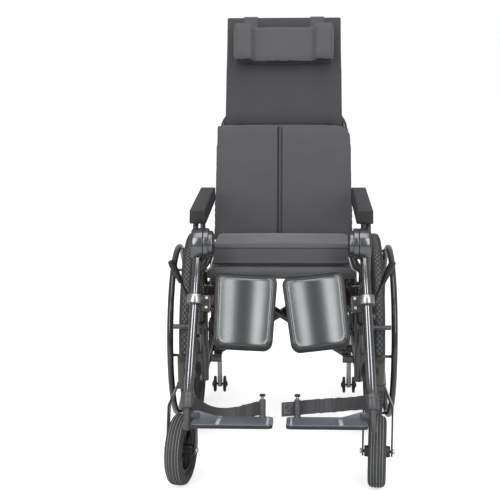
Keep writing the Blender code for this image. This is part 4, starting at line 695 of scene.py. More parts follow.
# %% Rear wheels
SPOKES = 6
half = [(-0.0138, 0.2686), (-0.0150, 0.2640), (-0.0140, 0.2520), (-0.0110, 0.2490), (-0.0050, 0.2482)]
rim = softened(turned("rim", mirrored(half), steps=96), 0.0008)
half = [(-0.0320, 0.0066), (-0.0320, 0.0190), (-0.0300, 0.0205), (-0.0250, 0.0250), (-0.0120, 0.0270)]
hub = softened(turned("hub", mirrored(half)), 0.0008)


def ringed(obj, axis, places):
    """Slices the object across an axis at these places, so that it can be bent or waisted there."""
    for place in places:
        pick(obj, everything)
        spot = [0, 0, 0]
        spot[axis] = place
        bpy.ops.mesh.bisect(plane_co=spot, plane_no=[int(i == axis) for i in range(3)])
        done()
    return obj


spoke = block("spoke", (-0.007, -0.017, 0.022), (0.007, 0.017, 0.2545))
spoke = ringed(spoke, 2, (0.05, 0.09, 0.14, 0.19, 0.23))
for vertex in spoke.data.vertices:
    from_waist = (vertex.co.z - 0.14) / 0.115
    vertex.co.y *= 0.86 + 0.42 * from_waist**2
    vertex.co.x *= 1.0 + 0.25 * max(0.0, -from_waist)
pick(spoke, lambda centre, normal: abs(normal.x) > 0.8)
bpy.ops.mesh.inset(thickness=0.0045, depth=-0.0030)
spoke = softened(done(), 0.0010)
spokes = []
for k in range(1, SPOKES):
    spokes.append(copied(spoke, Matrix.Rotation(k * math.tau / SPOKES, 4, "X"), f"spoke_{k}"))
wheel = moved(joined("rear_wheel_left_moulding", rim, hub, spoke, *spokes), Matrix.Translation(AXLE))
both(wheel, plastic, "wheel_{}", "black_plastic", "rear_wheel_{}")
cap = [(0.0321, 0.0), (0.0321, 0.0150), (0.0335, 0.0150), (0.0350, 0.0135), (0.0350, 0.0070)]
cap += [(0.0385, 0.0065), (0.0395, 0.0050), (0.0395, 0.0)]
cap = softened(turned("axle_button_left", cap, Matrix.Translation(AXLE), 40), 0.0004)
both(cap, zinc, "wheel_{}", "satin_steel")
print("wheel:", len(wheel.data.polygons), "faces")

# %% [markdown]
# ## The handrims
# The handrim is a steel hoop outside the wheel, black coated, that the sitter pushes. Six short
# spacers with collars hold it off the rim. The hoop is a circle that is spun about the axle.

# %% Handrims
HOOP, BAR = 0.2595, 0.0095
turns = [k * math.tau / 16 for k in range(17)]
ring = [(BAR * math.cos(turn), HOOP + BAR * math.sin(turn)) for turn in turns]
hoop = turned("handrim_left_hoop", ring, Matrix.Translation((0.327, AXLE.y, AXLE.z)), 120)
profile = [(0.0145, 0.0), (0.0145, 0.0070), (0.0170, 0.0070), (0.0180, 0.0042), (0.0350, 0.0042)]
profile += [(0.0385, 0.0062), (0.0440, 0.0066), (0.0440, 0.0)]
post = turned("spacer", profile, Matrix.Translation((0, 0, HOOP)), 20)
posts = []
for k in range(SPOKES):
    turn = Matrix.Rotation((k + 0.5) * math.tau / SPOKES, 4, "X")
    posts.append(copied(post, Matrix.Translation(AXLE) @ turn, f"spacer_{k}"))
bpy.data.objects.remove(post)
hoop = softened(joined("handrim_left_hoop", hoop, *posts), 0.0005)
both(hoop, paint, "wheel_{}", "frame_paint", "handrim_{}")
print("handrim:", len(hoop.data.polygons), "faces")

# %% [markdown]
# ## The casters
# A caster is a solid tyre with five grooves, on a moulded wheel with a sunk web and stiffening ribs.
# A pale ring in each groove is painted highlight. Both casters are built once beside their stem, then
# set at the angle at which each stood in the picture. Nuts close the axle outside the fork.

# %% Casters
RIBS = 6
turns = {"left": (0.270, -4.5), "right": (-0.270, -10.0)}
stems = {
    side: Matrix.Translation((x, AXLE.y - 0.432, 0)) @ Matrix.Rotation(math.radians(turn), 4, "Z")
    for side, (x, turn) in turns.items()
}
CASTER = Matrix.Translation((0, -0.040, 0.09914))
side = [(-0.0172, 0.0663), (-0.0225, 0.0715), (-0.0248, 0.0800), (-0.0240, 0.0880), (-0.0205, 0.0945)]
side += [(-0.0172, 0.0970), (-0.0164, 0.0955), (-0.0148, 0.0958), (-0.0140, 0.0979)]
side += [(-0.0100, 0.0988), (-0.0092, 0.0964), (-0.0076, 0.0964), (-0.0068, 0.0989)]
side += [(-0.0016, 0.0991), (-0.0008, 0.0972)]
tyre = softened(turned("caster_tyre", mirrored(side), CASTER, 96), 0.0003, 1, 50)
half = [(-0.0358, 0.0046), (-0.0358, 0.0140), (-0.0340, 0.0155), (-0.0100, 0.0170), (-0.0063, 0.0200)]
half += [(-0.0063, 0.0530), (-0.0100, 0.0555), (-0.0168, 0.0562), (-0.0172, 0.0654)]
disc = softened(turned("caster_wheel", mirrored(half), CASTER, 72), 0.0006)
rib = softened(block("rib", (-0.0130, -0.0020, 0.0165), (0.0130, 0.0020, 0.0560)), 0.0008)
ribs = []
for k in range(RIBS):
    ribs.append(copied(rib, CASTER @ Matrix.Rotation(k * math.tau / RIBS, 4, "X"), f"rib_{k}"))
bpy.data.objects.remove(rib)
disc = joined("caster_wheel", disc, *ribs)
nut = [(0.0428, 0.0), (0.0428, 0.0078), (0.0476, 0.0078), (0.0484, 0.0066), (0.0484, 0.0)]
nut = softened(turned("caster_nut", nut, CASTER, 6), 0.0004, 2, 20)
nut = joined("caster_nut", nut, cleaned(copied(nut, MIRROR)))
# Each groove is given by its place across the tyre and the radius of its floor.
grooves = [(-0.0156, 0.0956), (-0.0084, 0.0964), (0.0, 0.0972), (0.0084, 0.0964), (0.0156, 0.0956)]
# The pale rings at the groove floors are painted highlight.
rings = []
for x, deep in grooves:
    ring = ring_of(x - 0.0008, x + 0.0008, deep - 0.001, deep + 0.0006)
    rings.append(turned("caster_dust", ring, CASTER, 96))
highlight_rings = softened(joined("caster_dust", *rings), 0.0002, 1)
for side, stem in stems.items():
    body = f"caster_{side}"
    lay(copied(highlight_rings, stem, f"caster_dust_{side}"), groove_highlight, body, "tyre_rubber")
    piece = copied(tyre, stem, f"caster_tyre_{side}_rubber")
    lay(piece, rubber, body, "tyre_rubber", f"caster_tyre_{side}")
    piece = copied(disc, stem, f"caster_hub_{side}_disc")
    lay(piece, plastic, body, "black_plastic", f"caster_hub_{side}")
    lay(copied(nut, stem, f"caster_nut_{side}"), zinc, f"fork_{side}", "satin_steel")
for pattern in (tyre, disc, nut, highlight_rings):
    bpy.data.objects.remove(pattern)
print("casters: turned", [turn for x, turn in turns.values()], "degrees")

# %% [markdown]
# ## The leg rests
# A leg rest hangs on a swing post. Above it sits a fat round knuckle in two halves: the inner half
# stays with the post and the outer one turns with the leg tube. Both halves are lathe work, and the
# steps in their profile catch the light as rings.

# %% Knuckles and leg tubes
KNUCKLE = Matrix.Translation(LEG.translation)
inner = [(-0.0430, 0.0), (-0.0430, 0.0100), (-0.0412, 0.0118), (-0.0412, 0.0240), (-0.0425, 0.0262)]
inner += [(-0.0392, 0.0340), (-0.0360, 0.0353), (-0.0292, 0.0353), (-0.0288, 0.0405), (-0.0272, 0.0424)]
inner += [(-0.0155, 0.0424), (-0.0143, 0.0412), (-0.0143, 0.0)]
disc = softened(turned("hanger_disc", inner, KNUCKLE, 72), 0.0006)
post_x, post_y = 0.225, AXLE.y - 0.405
corners = [(post_x, post_y, 0.415), (post_x, post_y, 0.585), (0.1955, KNUCKLE.translation.y, 0.632)]
corners += [(0.1955, KNUCKLE.translation.y, 0.653)]
post = bent("hanger_post", eased(corners, 0.012), 0.0089)
collar = [(0.5363, 0.0), (0.5363, 0.0135), (0.5375, 0.0140)]
collar += [(0.5455, 0.0140), (0.5463, 0.0132), (0.5463, 0.0)]
HANGER = Matrix.Translation((post_x, post_y, 0)) @ ALONG_Z
collar = softened(turned("hanger_collar", collar, HANGER, 40), 0.0005)
hanger = joined("legrest_hanger_left_post", post, collar)
both(hanger, paint, "hanger_{}", "frame_paint", "legrest_hanger_{}")
disc.name = "knuckle_inner_left"
both(disc, housing, "hanger_{}", "black_plastic")

outer = [(-0.0137, 0.0), (-0.0137, 0.0412), (-0.0123, 0.0424), (0.0118, 0.0424), (0.0160, 0.0405)]
outer += [(0.0186, 0.0368), (0.0190, 0.0300), (0.0176, 0.0285), (0.0176, 0.0130)]
outer += [(0.0190, 0.0115), (0.0190, 0.0)]
band = softened(turned("knuckle_outer_left", outer, KNUCKLE, 72), 0.0006)
both(band, housing, "leg_{}", "black_plastic")
tube = turned("leg_tube_left_bar", rod_of(-0.020, -0.409, 0.0125), LEG @ ALONG_Y, 48)
both(softened(tube, 0.0005), anodised, "leg_{}", "frame_paint", "leg_tube_{}")
clamp = [(-0.4065, 0.0126), (-0.4065, 0.0168), (-0.4080, 0.0176), (-0.4180, 0.0176), (-0.4184, 0.0170)]
clamp += [(-0.4204, 0.0170), (-0.4208, 0.0176), (-0.4455, 0.0176), (-0.4470, 0.0168), (-0.4470, 0.0086)]
clamp = softened(turned("foot_clamp_left", clamp + clamp[:1], LEG @ ALONG_Y, 48), 0.0005)
both(clamp, pewter, "leg_{}", "grey_casting")
hook_y = KNUCKLE.translation.y
hook = [(0.184, hook_y - 0.010, 0.640), (0.188, hook_y - 0.012, 0.624)]
hook += [(0.192, hook_y - 0.010, 0.610), (0.205, hook_y - 0.008, 0.598)]
both(bent("swing_hook_left", eased(hook, 0.006), 0.0022), zinc, "hanger_{}", "satin_steel")
print("leg rests: knuckles, tubes, clamps and swing hooks")

# %% [markdown]
# ## The calf brackets
# A steel collar grips the leg tube, with a thin dark ring above and below. A bolted lug stands on its
# inner side, and a black arm bends back from there and carries the rod that the calf pad tilts on.

# %% Calf brackets
pad_low, pad_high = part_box("calf_pad_left")
CALF_X = (LEG.inverted() @ ((pad_low + pad_high) / 2)).x
collar = [(-0.1425, 0.0129), (-0.1425, 0.0200), (-0.1440, 0.0210)]
collar += [(-0.1680, 0.0210), (-0.1695, 0.0200), (-0.1695, 0.0129)]
collar = softened(turned("calf_collar", collar + collar[:1], LEG @ ALONG_Y, 48), 0.0005)
corners = [(0, -0.156, -0.018), (0, -0.156, -0.070)]
corners += [(CALF_X + 0.045, -0.176, -0.070), (CALF_X - 0.045, -0.176, -0.070)]
arm = bent("calf_arm", eased(corners[:3], 0.020) + [Vector(corners[3])], 0.0055, LEG)
lug = moved(block("calf_lug", (-0.042, -0.184, -0.034), (-0.018, -0.140, -0.008)), LEG)
both(joined("calf_arm_left", arm, softened(lug, 0.003, 3)), paint, "leg_{}", "frame_paint")
collar.name = "calf_bracket_left_collar"
both(collar, steel, "leg_{}", "satin_steel", "calf_bracket_{}")
head = [(0.0, 0.0), (0.0, 0.0048), (0.0018, 0.0048), (0.0030, 0.0036)]
head += [(0.0030, 0.0018), (0.0018, 0.0016), (0.0018, 0.0)]
bolts = []
for y in (-0.148, -0.174):
    spot = LEG @ Matrix.Translation((-0.031, y, -0.008)) @ ALONG_Z
    bolts.append(turned("bolt", head, spot, 20))
both(softened(joined("calf_bolts_left", *bolts), 0.0003), zinc, "leg_{}", "satin_steel")
bands = []
for middle in (-0.1432, -0.1688):
    ring = ring_of(middle - 0.0009, middle + 0.0009, 0.0203, 0.0214)
    bands.append(softened(turned("calf_band", ring, LEG @ ALONG_Y, 48), 0.0003))
both(joined("calf_band_left", *bands), plastic, "leg_{}", "black_plastic")
print("calf pad middle at", round(CALF_X, 4), "m in the leg's frame")

# %% [markdown]
# ## The calf pads
# Each calf pad is a shallow dished shell with a thick black lip and a smooth grey face set inside it.
# Both are made the same way: a grid is pulled into a rounded outline and dished, then extruded back
# and flattened. The left pad had been knocked round a little on its rod, so it is set with that small
# roll.

# %% Calf pads
def reach(u, v, width, height, corner):
    """Where a point of the square -1..1 lands inside a rectangle with round corners."""
    most = max(abs(u), abs(v), 1e-9)
    x, y = u / most * width / 2, v / most * height / 2
    inner_x, inner_y = width / 2 - corner, height / 2 - corner
    if abs(x) > inner_x and abs(y) > inner_y:
        # In a corner, the ray from the middle ends where it meets the corner's arc.
        a = x * x + y * y
        b = -2 * (abs(x) * inner_x + abs(y) * inner_y)
        c = inner_x**2 + inner_y**2 - corner**2
        share = (-b + math.sqrt(max(b * b - 4 * a * c, 0))) / (2 * a)
        x, y = x * share, y * share
    return x * most, y * most, most


def shield(name, width, height, corner, front, back, cells=40):
    """A plate with round corners. front(x, y, share of the way out) is its face, back its flat back."""
    bpy.ops.object.select_all(action="DESELECT")
    bpy.ops.mesh.primitive_grid_add(x_subdivisions=cells, y_subdivisions=cells, size=2)
    obj = stock(name)
    for vertex in obj.data.vertices:
        x, y, most = reach(vertex.co.x, vertex.co.y, width, height, corner)
        vertex.co = (x, y, front(x, y, most))
    pick(obj, everything)
    bpy.ops.mesh.extrude_region_move(TRANSFORM_OT_translate={"value": (0, 0, -0.01)})
    bpy.ops.transform.resize(value=(1, 1, 0), center_override=(0, 0, back))
    done()
    return cleaned(obj)


def rolled(share, start):
    """How far a round edge has dropped: 0 up to the start, then along a quarter circle to 1."""
    edge = max(0.0, (share - start) / (1 - start))
    return 1 - math.sqrt(max(0.0, 1 - edge**2))


def calf_dish(deep, lift, roll):
    """A face dished this deep, raised by lift and rolled over by roll at its edge."""

    def front(x, y, most):
        return 0.040 + deep * ((2 * x / 0.165) ** 2 - 1) + lift - roll * rolled(most, 0.88)

    return front


def tapered(obj, height, taper):
    """Draws the lower end in."""
    for vertex in obj.data.vertices:
        vertex.co.x *= 1 - taper * (0.5 - vertex.co.y / height)
    return obj


CALF_ROLL = math.radians(4.5)
CALF = LEG @ Matrix.Translation((CALF_X - 0.003, -0.176, -0.052))
CALF_PLACES = {"left": CALF @ Matrix.Rotation(CALF_ROLL, 4, "Z"), "right": MIRROR @ CALF}
shell = shield("calf_shell", 0.170, 0.208, 0.026, calf_dish(0.022, 0.0, 0.006), 0.004)
pieces = [softened(tapered(shell, 0.208, 0.07), 0.0015, 3, 60)]
for x in (-0.030, 0.030):
    ring = ring_of(x - 0.004, x + 0.004, 0.0060, 0.0100)
    pieces.append(softened(turned("ear", ring, Matrix.Translation((0, 0, -0.018)), 32), 0.0006))
    web = block("ear_web", (x - 0.0035, -0.008, -0.010), (x + 0.0035, 0.008, 0.008))
    pieces.append(softened(web, 0.0006))
shell = joined("calf_shell", *pieces)
face = shield("calf_face", 0.153, 0.192, 0.019, calf_dish(0.021, 0.0022, 0.004), 0.010)
face = softened(tapered(face, 0.192, 0.07), 0.001, 2, 60)
for side, spot in CALF_PLACES.items():
    back = cleaned(copied(shell, spot, f"calf_pad_{side}_shell"))
    lay(back, plastic, f"calf_{side}", "black_plastic", f"calf_pad_{side}")
    lay(cleaned(copied(face, spot, f"calf_face_{side}")), vinyl, f"calf_{side}", "pad_vinyl")
for pattern in (shell, face):
    bpy.data.objects.remove(pattern)
print("calf pads: the left one is rolled", round(math.degrees(CALF_ROLL), 1), "degrees")

# %% [markdown]
# ## The footplates
# A footplate is a flat grey casting with round corners. A sawn web hangs it on the pin of the foot
# tube, and a post near its inner end holds the heel strap. A black tray under it is painted shade on
# the front edge, and two pale strips across it are painted highlight, one where the web ends and one
# at its inner end.

# %% Footplates
post_x, post_z = 0.046 - FOOT_HINGE.x, -0.0301
width = 0.007 + FOOT_HINGE.x - 0.0175
TREAD = FOOT @ Matrix.Translation((0.007 - width / 2, -0.010, 0.0859 - 0.065))
TREAD = TREAD @ Matrix.Rotation(-math.pi / 2, 4, "X")


def tread_face(x, y, most):
    return -0.0012 * rolled(most, 0.98)


tread = shield("footplate_left_tread", width, 0.130, 0.014, tread_face, -0.0030, 48)
tread = softened(moved(tread, TREAD), 0.0006, 2, 50)
# The black tray under the plate is painted shade on its front edge.
tray_size = (width + 0.0006, 0.1306, 0.0143)
tray = shield("footplate_tray_left", *tray_size, lambda x, y, most: -0.0026, -0.0120, 24)
both(softened(moved(tray, TREAD), 0.0030, 4, 50), plastic, "plate_{}", "black_plastic")
# Two pale strips across the plate are painted highlight.
strips = []
for middle, half in ((width / 2 - 0.068, 0.0050), (-width / 2 + 0.013, 0.0026)):
    strips.append(block("strip", (middle - half, -0.063, -0.001), (middle + half, 0.061, 0.0005)))
strips = moved(softened(joined("footplate_strips_left", *strips), 0.0004), TREAD)
both(strips, strip_highlight, "plate_{}", "grey_casting")
web = sawn("web", [(0.007, -0.012), (0.007, 0.010), (-0.007, 0.010), (-0.085, -0.012)], 0.005)
web = softened(moved(web, FOOT @ Matrix.Translation((0, 0, -0.0029))), 0.0010)
both(joined("footplate_left_tread", tread, web), casting, "plate_{}", "grey_casting", "footplate_{}")
POST = FOOT @ Matrix.Translation((post_x, 0, post_z)) @ ALONG_Y
stand = [(-0.012, 0.0), (-0.012, 0.0100), (-0.009, 0.0100), (-0.007, 0.0085)]
stand += [(0.036, 0.0085), (0.0375, 0.0070), (0.0375, 0.0)]
both(softened(turned("strap_post_left", stand, POST, 32), 0.0005), pewter, "plate_{}", "grey_casting")
waist = rod_of(0.036, 0.046, 0.0045)
both(softened(turned("strap_waist_left", waist, POST, 32), 0.0003), zinc, "plate_{}", "satin_steel")
knob = [(0.045, 0.0), (0.045, 0.0070), (0.0462, 0.0078)]
knob += [(0.0500, 0.0078), (0.0515, 0.0060), (0.0520, 0.0)]
both(softened(turned("strap_knob_left", knob, POST, 32), 0.0005), plastic, "plate_{}", "black_plastic")
bolt = [(0.0, 0.0), (0.0, 0.0048), (0.0022, 0.0048), (0.0032, 0.0036)]
bolt += [(0.0032, 0.0020), (0.0018, 0.0018), (0.0018, 0.0)]
bolt = softened(turned("foot_bolt_left", bolt, FOOT @ ALONG_Z, 24), 0.0003)
both(bolt, paint, "foot_{}", "satin_steel")
print("footplates:", round(width, 4), "m wide")

# %% [markdown]
# ## The heel straps
# A webbing band runs behind each heel, from beside the foot tube to the strap post. A grid is laid
# along the band's path, then given the thickness of webbing. The left band is taut, with a loose tail
# and a stitched box beyond its post; the right one has slipped and hangs low between its ends, so
# each gets its own sag.

# %% Heel straps
STRAP_STEPS = 64


def ribbon(name, centres, ups, width, thickness, cells=6):
    """A band along the centres, with its width along the ups."""
    bpy.ops.object.select_all(action="DESELECT")
    bpy.ops.mesh.primitive_grid_add(x_subdivisions=len(centres) - 1, y_subdivisions=cells, size=2)
    obj = stock(name)
    for vertex in obj.data.vertices:
        k = round((vertex.co.x + 1) / 2 * (len(centres) - 1))
        vertex.co = centres[k] + ups[k] * (vertex.co.y * width / 2)
    return thickened(obj, thickness)


def thickened(obj, thickness):
    """Gives a sheet a UV map in metres and then its thickness."""
    applied(unwrapped(obj), "SOLIDIFY", thickness=thickness, offset=0)
    bpy.ops.object.shade_smooth_by_angle(angle=math.radians(50))
    return obj


def unwrapped(obj):
    """Projects a UV map from the nearest side of a cube, one unit to the metre."""
    pick(obj, everything)
    bpy.ops.uv.cube_project(cube_size=1.0)
    return done()


def strap_path(sag, steepness, first, depth):
    """A band that sags, sooner where steepness is high. Folds of this depth follow its first part."""
    outer, inner = Vector((0.017, -0.026)), Vector((post_x, post_z - 0.0089))
    centres, ups = [], []
    for k in range(STRAP_STEPS + 1):
        t = k / STRAP_STEPS
        spot = outer.lerp(inner, t)
        bow = 0.026 * math.sin(math.pi * t) ** 0.8 if 0 < k < STRAP_STEPS else 0
        fold = max(0.0, math.sin(math.pi * (t - first) / (1 - first)))
        fold *= depth * (0.6 * math.sin(41 * t) + 0.4 * math.sin(67 * t + 1))
        height = 0.013 + 0.020 * (1 - t) ** steepness - sag * math.sin(math.pi * t**0.8) ** 1.3
        centres.append(FOOT @ Vector((spot.x, height, spot.y - bow + fold)))
        lean = 0.35 * math.sin(math.pi * t) * math.sin(7 * t)
        ups.append((FOOT.to_3x3() @ Vector((0, math.cos(lean), math.sin(lean)))).normalized())
    return centres, ups


STRAPS = {"left": (Matrix(), 0.004, 1, 0.05, 0.0055), "right": (MIRROR, 0.026, 3, 0.45, 0.0065)}
for side, (flip, *shape) in STRAPS.items():
    centres, ups = strap_path(*shape)
    length = sum((b - a).length for a, b in zip(centres, centres[1:]))
    band = ribbon(f"heel_strap_{side}_band", centres, ups, 0.038, 0.0018)
    band = cleaned(moved(band, flip))
    band.data.materials.append(webbing)
    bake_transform(band)
    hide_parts(f"heel_strap_{side}")
    print("heel strap", side, "is", round(length, 4), "m long")
tail = []
for k in range(13):
    x, y = post_x + 0.006 - 0.048 * k / 12, 0.0125 - 0.003 * k / 12
    tail.append(FOOT @ Vector((x, y, post_z - 0.0112 + 0.0005 * k)))
up = (FOOT.to_3x3() @ Vector((0, 1, 0))).normalized()
tail = ribbon("heel_strap_tail_left", tail, [up] * 13, 0.038, 0.0018)
lay(tail, webbing, "plate_left", "webbing")
corners = [(-0.012, -0.010), (-0.034, -0.010), (-0.034, 0.014), (-0.012, 0.014)]
corners += [(-0.012, -0.010), (-0.034, 0.014), (-0.034, -0.010), (-0.012, 0.014)]
stitch = []
for x, y in corners:
    z = post_z - 0.0076 - 0.125 * (x + 0.012)
    stitch.append(FOOT @ Vector((post_x + x, 0.0108 + y, z)))
# The thread is drawn 2 mm thick, because a real one of 0.5 mm would be lost at this distance.
stitch = bent("heel_strap_stitch_left", stitch, 0.0010)
lay(unwrapped(stitch), pale_thread, "plate_left", "webbing")
print("the left strap has a loose tail with a stitched box")

# %% [markdown]
# ## Grips, arm pads and the small rear wheels
# The push grips are ribbed rubber, the arm pads a firm moulded foam with a parting line, and the
# anti-tip wheels thin hard discs with a hub flange. All are short profiles on the lathe or a worked
# block.

# %% Grips, arm pads and anti-tip wheels
profile = [(0.0, 0.0104), (0.0, 0.0160)]
for k in range(9):
    profile += [(0.010 + 0.010 * k, 0.0160), (0.0125 + 0.010 * k, 0.0146), (0.0175 + 0.010 * k, 0.0146)]
profile += [(0.1030, 0.0160), (0.1080, 0.0158), (0.1100, 0.0135), (0.1100, 0.0)]
GRIP = BACK @ Matrix.Translation((0.190, 0.375, -0.020)) @ Matrix.Rotation(math.pi / 2, 4, "Y")
grip = softened(turned("push_grip_left_rubber", profile, GRIP, 40), 0.0006)
both(grip, rubber, "back_{}", "black_plastic", "push_grip_{}")

low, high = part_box("armrest_pad_left")
middle = (low + high) / 2
pad = block("armrest_pad_left_foam", low, high)
pad = ringed(pad, 1, [low.y + 0.02, (low.y + high.y) / 2, high.y - 0.02])
for vertex in pad.data.vertices:
    if vertex.co.z > middle.z:
        vertex.co.x = middle.x + (vertex.co.x - middle.x) * 0.94
pick(pad, lambda centre, normal: normal.z < -0.9)
bpy.ops.mesh.inset(thickness=0.004, depth=0.0)
pad = softened(done(), 0.009, 5, 30)
both(pad, plastic, "arm_{}", "pad_vinyl", "armrest_pad_{}")

half = [(0.0105, 0.0), (0.0105, 0.0120), (0.0115, 0.0130), (0.0115, 0.0230), (0.0120, 0.0262)]
half += [(0.0140, 0.0270), (0.0180, 0.0270), (0.0200, 0.0262), (0.0205, 0.0230), (0.0205, 0.0130)]
half += [(0.0225, 0.0115), (0.0240, 0.0070), (0.0260, 0.0066), (0.0260, 0.0)]
low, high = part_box("anti_tip_wheels_left")
TIP = Matrix.Translation((low + high) / 2)
disc = softened(turned("tip_disc", half, TIP, 48), 0.0004)
mate = cleaned(copied(disc, TIP @ MIRROR @ TIP.inverted()))
shaft = turned("tip_shaft", rod_of(-0.012, 0.012, 0.003), TIP, 16)
discs = joined("anti_tip_wheels_left_discs", disc, mate, shaft)
both(discs, plastic, "tip_wheels_{}", "black_plastic", "anti_tip_wheels_{}")
print("grips, arm pads and anti-tip wheels laid")

# %% [markdown]
# ## Stuffed pads
# A foam pad in a sewn cover bulges between its seams. Its closed form is first pulled from a cube a
# little under size, remeshed evenly, then blown up as cloth with air inside. A limit on how far each
# point may go keeps it true to size. One subdivision then rounds it off, and the seams are pressed in
# last.

# %% Pad helpers
AIR_PRESSURE, LAST_FRAME = 4.0, 20


def padform(name, cuts, shape, place):
    """A cube cut into cells, with each point of -1..1 pulled to where the shape puts it."""
    bpy.ops.object.select_all(action="DESELECT")
    bpy.ops.mesh.primitive_cube_add(size=2)
    obj = stock(name)
    pick(obj, everything)
    bpy.ops.mesh.subdivide(number_cuts=cuts)
    done()
    for vertex in obj.data.vertices:
        vertex.co = shape(*vertex.co)
    return moved(obj, place)


def stuffed(obj, voxel, most, place, back):
    """Blows the pad up as cloth. No point moves more than most, and those below back hardly at all."""
    applied(obj, "REMESH", mode="VOXEL", voxel_size=voxel)
    rest = np.array([v.co for v in obj.data.vertices])
    air = obj.modifiers.new("air", "CLOTH")
    air.settings.quality = 4
    air.settings.mass = 0.3
    air.settings.use_pressure = True
    air.settings.uniform_pressure_force = AIR_PRESSURE
    air.settings.effector_weights.gravity = 0.0
    air.point_cache.frame_start, air.point_cache.frame_end = 1, LAST_FRAME
    for k in range(1, LAST_FRAME + 1):
        bpy.context.scene.frame_set(k)
    bpy.ops.object.modifier_apply(modifier=air.name)
    bpy.context.scene.frame_set(1)
    blown = np.array([v.co for v in obj.data.vertices])
    move = blown - rest
    size = np.linalg.norm(move, axis=1, keepdims=True)
    local = np.array([(place.inverted() @ Vector(p)).z for p in rest])
    limit = np.where(local > back, most, most * 0.2)[:, None]
    move *= np.minimum(1.0, limit / np.maximum(size, 1e-9))
    obj.data.vertices.foreach_set("co", (rest + move).ravel())
    applied(obj, "SUBSURF", levels=1)
    bpy.ops.object.shade_smooth()
    return obj


def pressed(obj, place, depth):
    """Moves points along the pad's own z by depth(x, y, z), as a seam pulls the cover in."""
    back = place.inverted()
    for vertex in obj.data.vertices:
        spot = back @ vertex.co
        spot.z += depth(*spot)
        vertex.co = place @ spot
    return unwrapped(obj)


def groove(distance, width):
    """1 on a seam, falling off to 0 over about its width."""
    return math.exp(-((distance / width) ** 2))


print("simulation is", "on")

# %% [markdown]
# ## The back pad
# The back pad is a wide cushion, broadest low down, with a double seam a little beside its middle.
# The seam is two grooves 10 mm apart, so that a narrow strip stands up between them, as a stitched
# fold does. A near-black ribbon down one groove is painted shade, and the stitches of the other are a
# thin ribbon.

# %% Back pad
SEAM_X = -0.011


def back_form(u, v, w):
    share = (v + 1) / 2
    half = 0.2155 - 0.010 * max(0.0, share - 0.3)
    if u > 0:
        # The upper left corner is cut round, so that the push grip shows beside it.
        half -= 0.032 * rolled(share, 0.88)
    thin = 1 - 0.45 * max(abs(u), abs(v)) ** 6
    return (u * half, 0.047 + 0.366 * share * (1 - 0.012 * u**4), 0.0263 + w * 0.0125 * thin)


def back_seams(x, y, z):
    if z < 0.024:
        return 0.0
    ends = min(1.0, max(0.0, (y - 0.05) / 0.02)) * min(1.0, max(0.0, (0.409 - y) / 0.02))
    return -ends * 0.0085 * groove(abs(x - SEAM_X) - 0.0050, 0.0026)


pad = stuffed(padform("back_pad_cover", 24, back_form, BACK), 0.005, 0.004, BACK, 0.022)
pad = pressed(pad, BACK, back_seams)
lay(pad, cloth, "back_left", "charcoal_cloth", "back_pad")
# The first ribbon is painted shade down one groove; the second is the thread of the stitches along the
# other.
SEAMS = {"back_seam_fold": (-0.0052, 0.0046, shade_black_cloth), "back_seam_line": (0.0050, 0.0016, thread)}
for name, (x, wide, material) in SEAMS.items():
    line = [BACK @ Vector((SEAM_X + x, 0.066 + 0.336 * k / 24, 0.0376)) for k in range(25)]
    seam = ribbon(name, line, [Vector((1, 0, 0))] * 25, wide, 0.0006, 1)
    lay(seam, material, "back_left", "charcoal_cloth")
    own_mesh(seam)
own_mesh(pad)
print("back pad:", len(pad.data.polygons), "faces")

# %% [markdown]
# ## The head panel and its pillow
# Above the back pad a thinner panel is tucked behind it, in a darker cloth that is painted shade. A
# puckered near-black tube along the joint is painted shade too. The pillow in front of it has raised
# ends and a hollow between them for the head, and near-black cloth on its downward faces is painted
# shade. Two flat tabs run from it over the panel's top.

# %% Head panel and pillow
def panel_form(u, v, w):
    share = (v + 1) / 2
    half = (0.366 - 0.011 * share) / 2
    thin = 1 - 0.3 * max(abs(u), abs(v)) ** 10
    return (u * half, 0.4000 + 0.3460 * share, 0.0203 + w * 0.0105 * thin)


panel = stuffed(padform("head_panel_cover", 24, panel_form, BACK), 0.005, 0.0015, BACK, 0.016)
panel = pressed(panel, BACK, lambda x, y, z: -0.010 * groove(y - 0.405, 0.025))
# The head panel's darker cloth is painted shade.
lay(panel, shaded_cloth, "back_left", "charcoal_cloth", "head_panel")
# A near-black tube along the joint, puckered, is painted shade.
line = []
for k in range(61):
    x = -0.150 + 0.005 * k
    pucker = 0.0005 * math.sin(150 * x) + 0.0035 * groove(abs(x) - 0.135, 0.006)
    line.append(BACK @ Vector((x, 0.4090 + pucker, 0.0270)))
joint_shade = unwrapped(bent("head_panel_crease", line, 0.0026))
lay(joint_shade, shade_black_cloth, "back_left", "charcoal_cloth")
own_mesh(joint_shade)
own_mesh(panel)


def pillow_form(u, v, w):
    share = (v + 1) / 2
    wing = min(1.0, max(0.0, (abs(u) - 0.58) / 0.07))
    deep = 0.059 - 0.024 * (1 - wing) + 0.006 * (1 - wing) * (1 - (u / 0.6) ** 2)
    edge = 1 - 0.12 * abs(v) ** 6
    dip = -0.007 * (1 - wing) * share - 0.008 * (1 - u * u) * (1 - share)
    return (u * 0.1505, 0.600 + 0.114 * share + dip, 0.0336 + (w + 1) / 2 * deep * edge)


pillow = stuffed(padform("headrest_pillow_cover", 24, pillow_form, BACK), 0.004, 0.003, BACK, 0.036)


def pillow_seams(x, y, z):
    return -0.005 * groove(abs(x) - 0.0895, 0.004) if z > 0.045 else 0.0


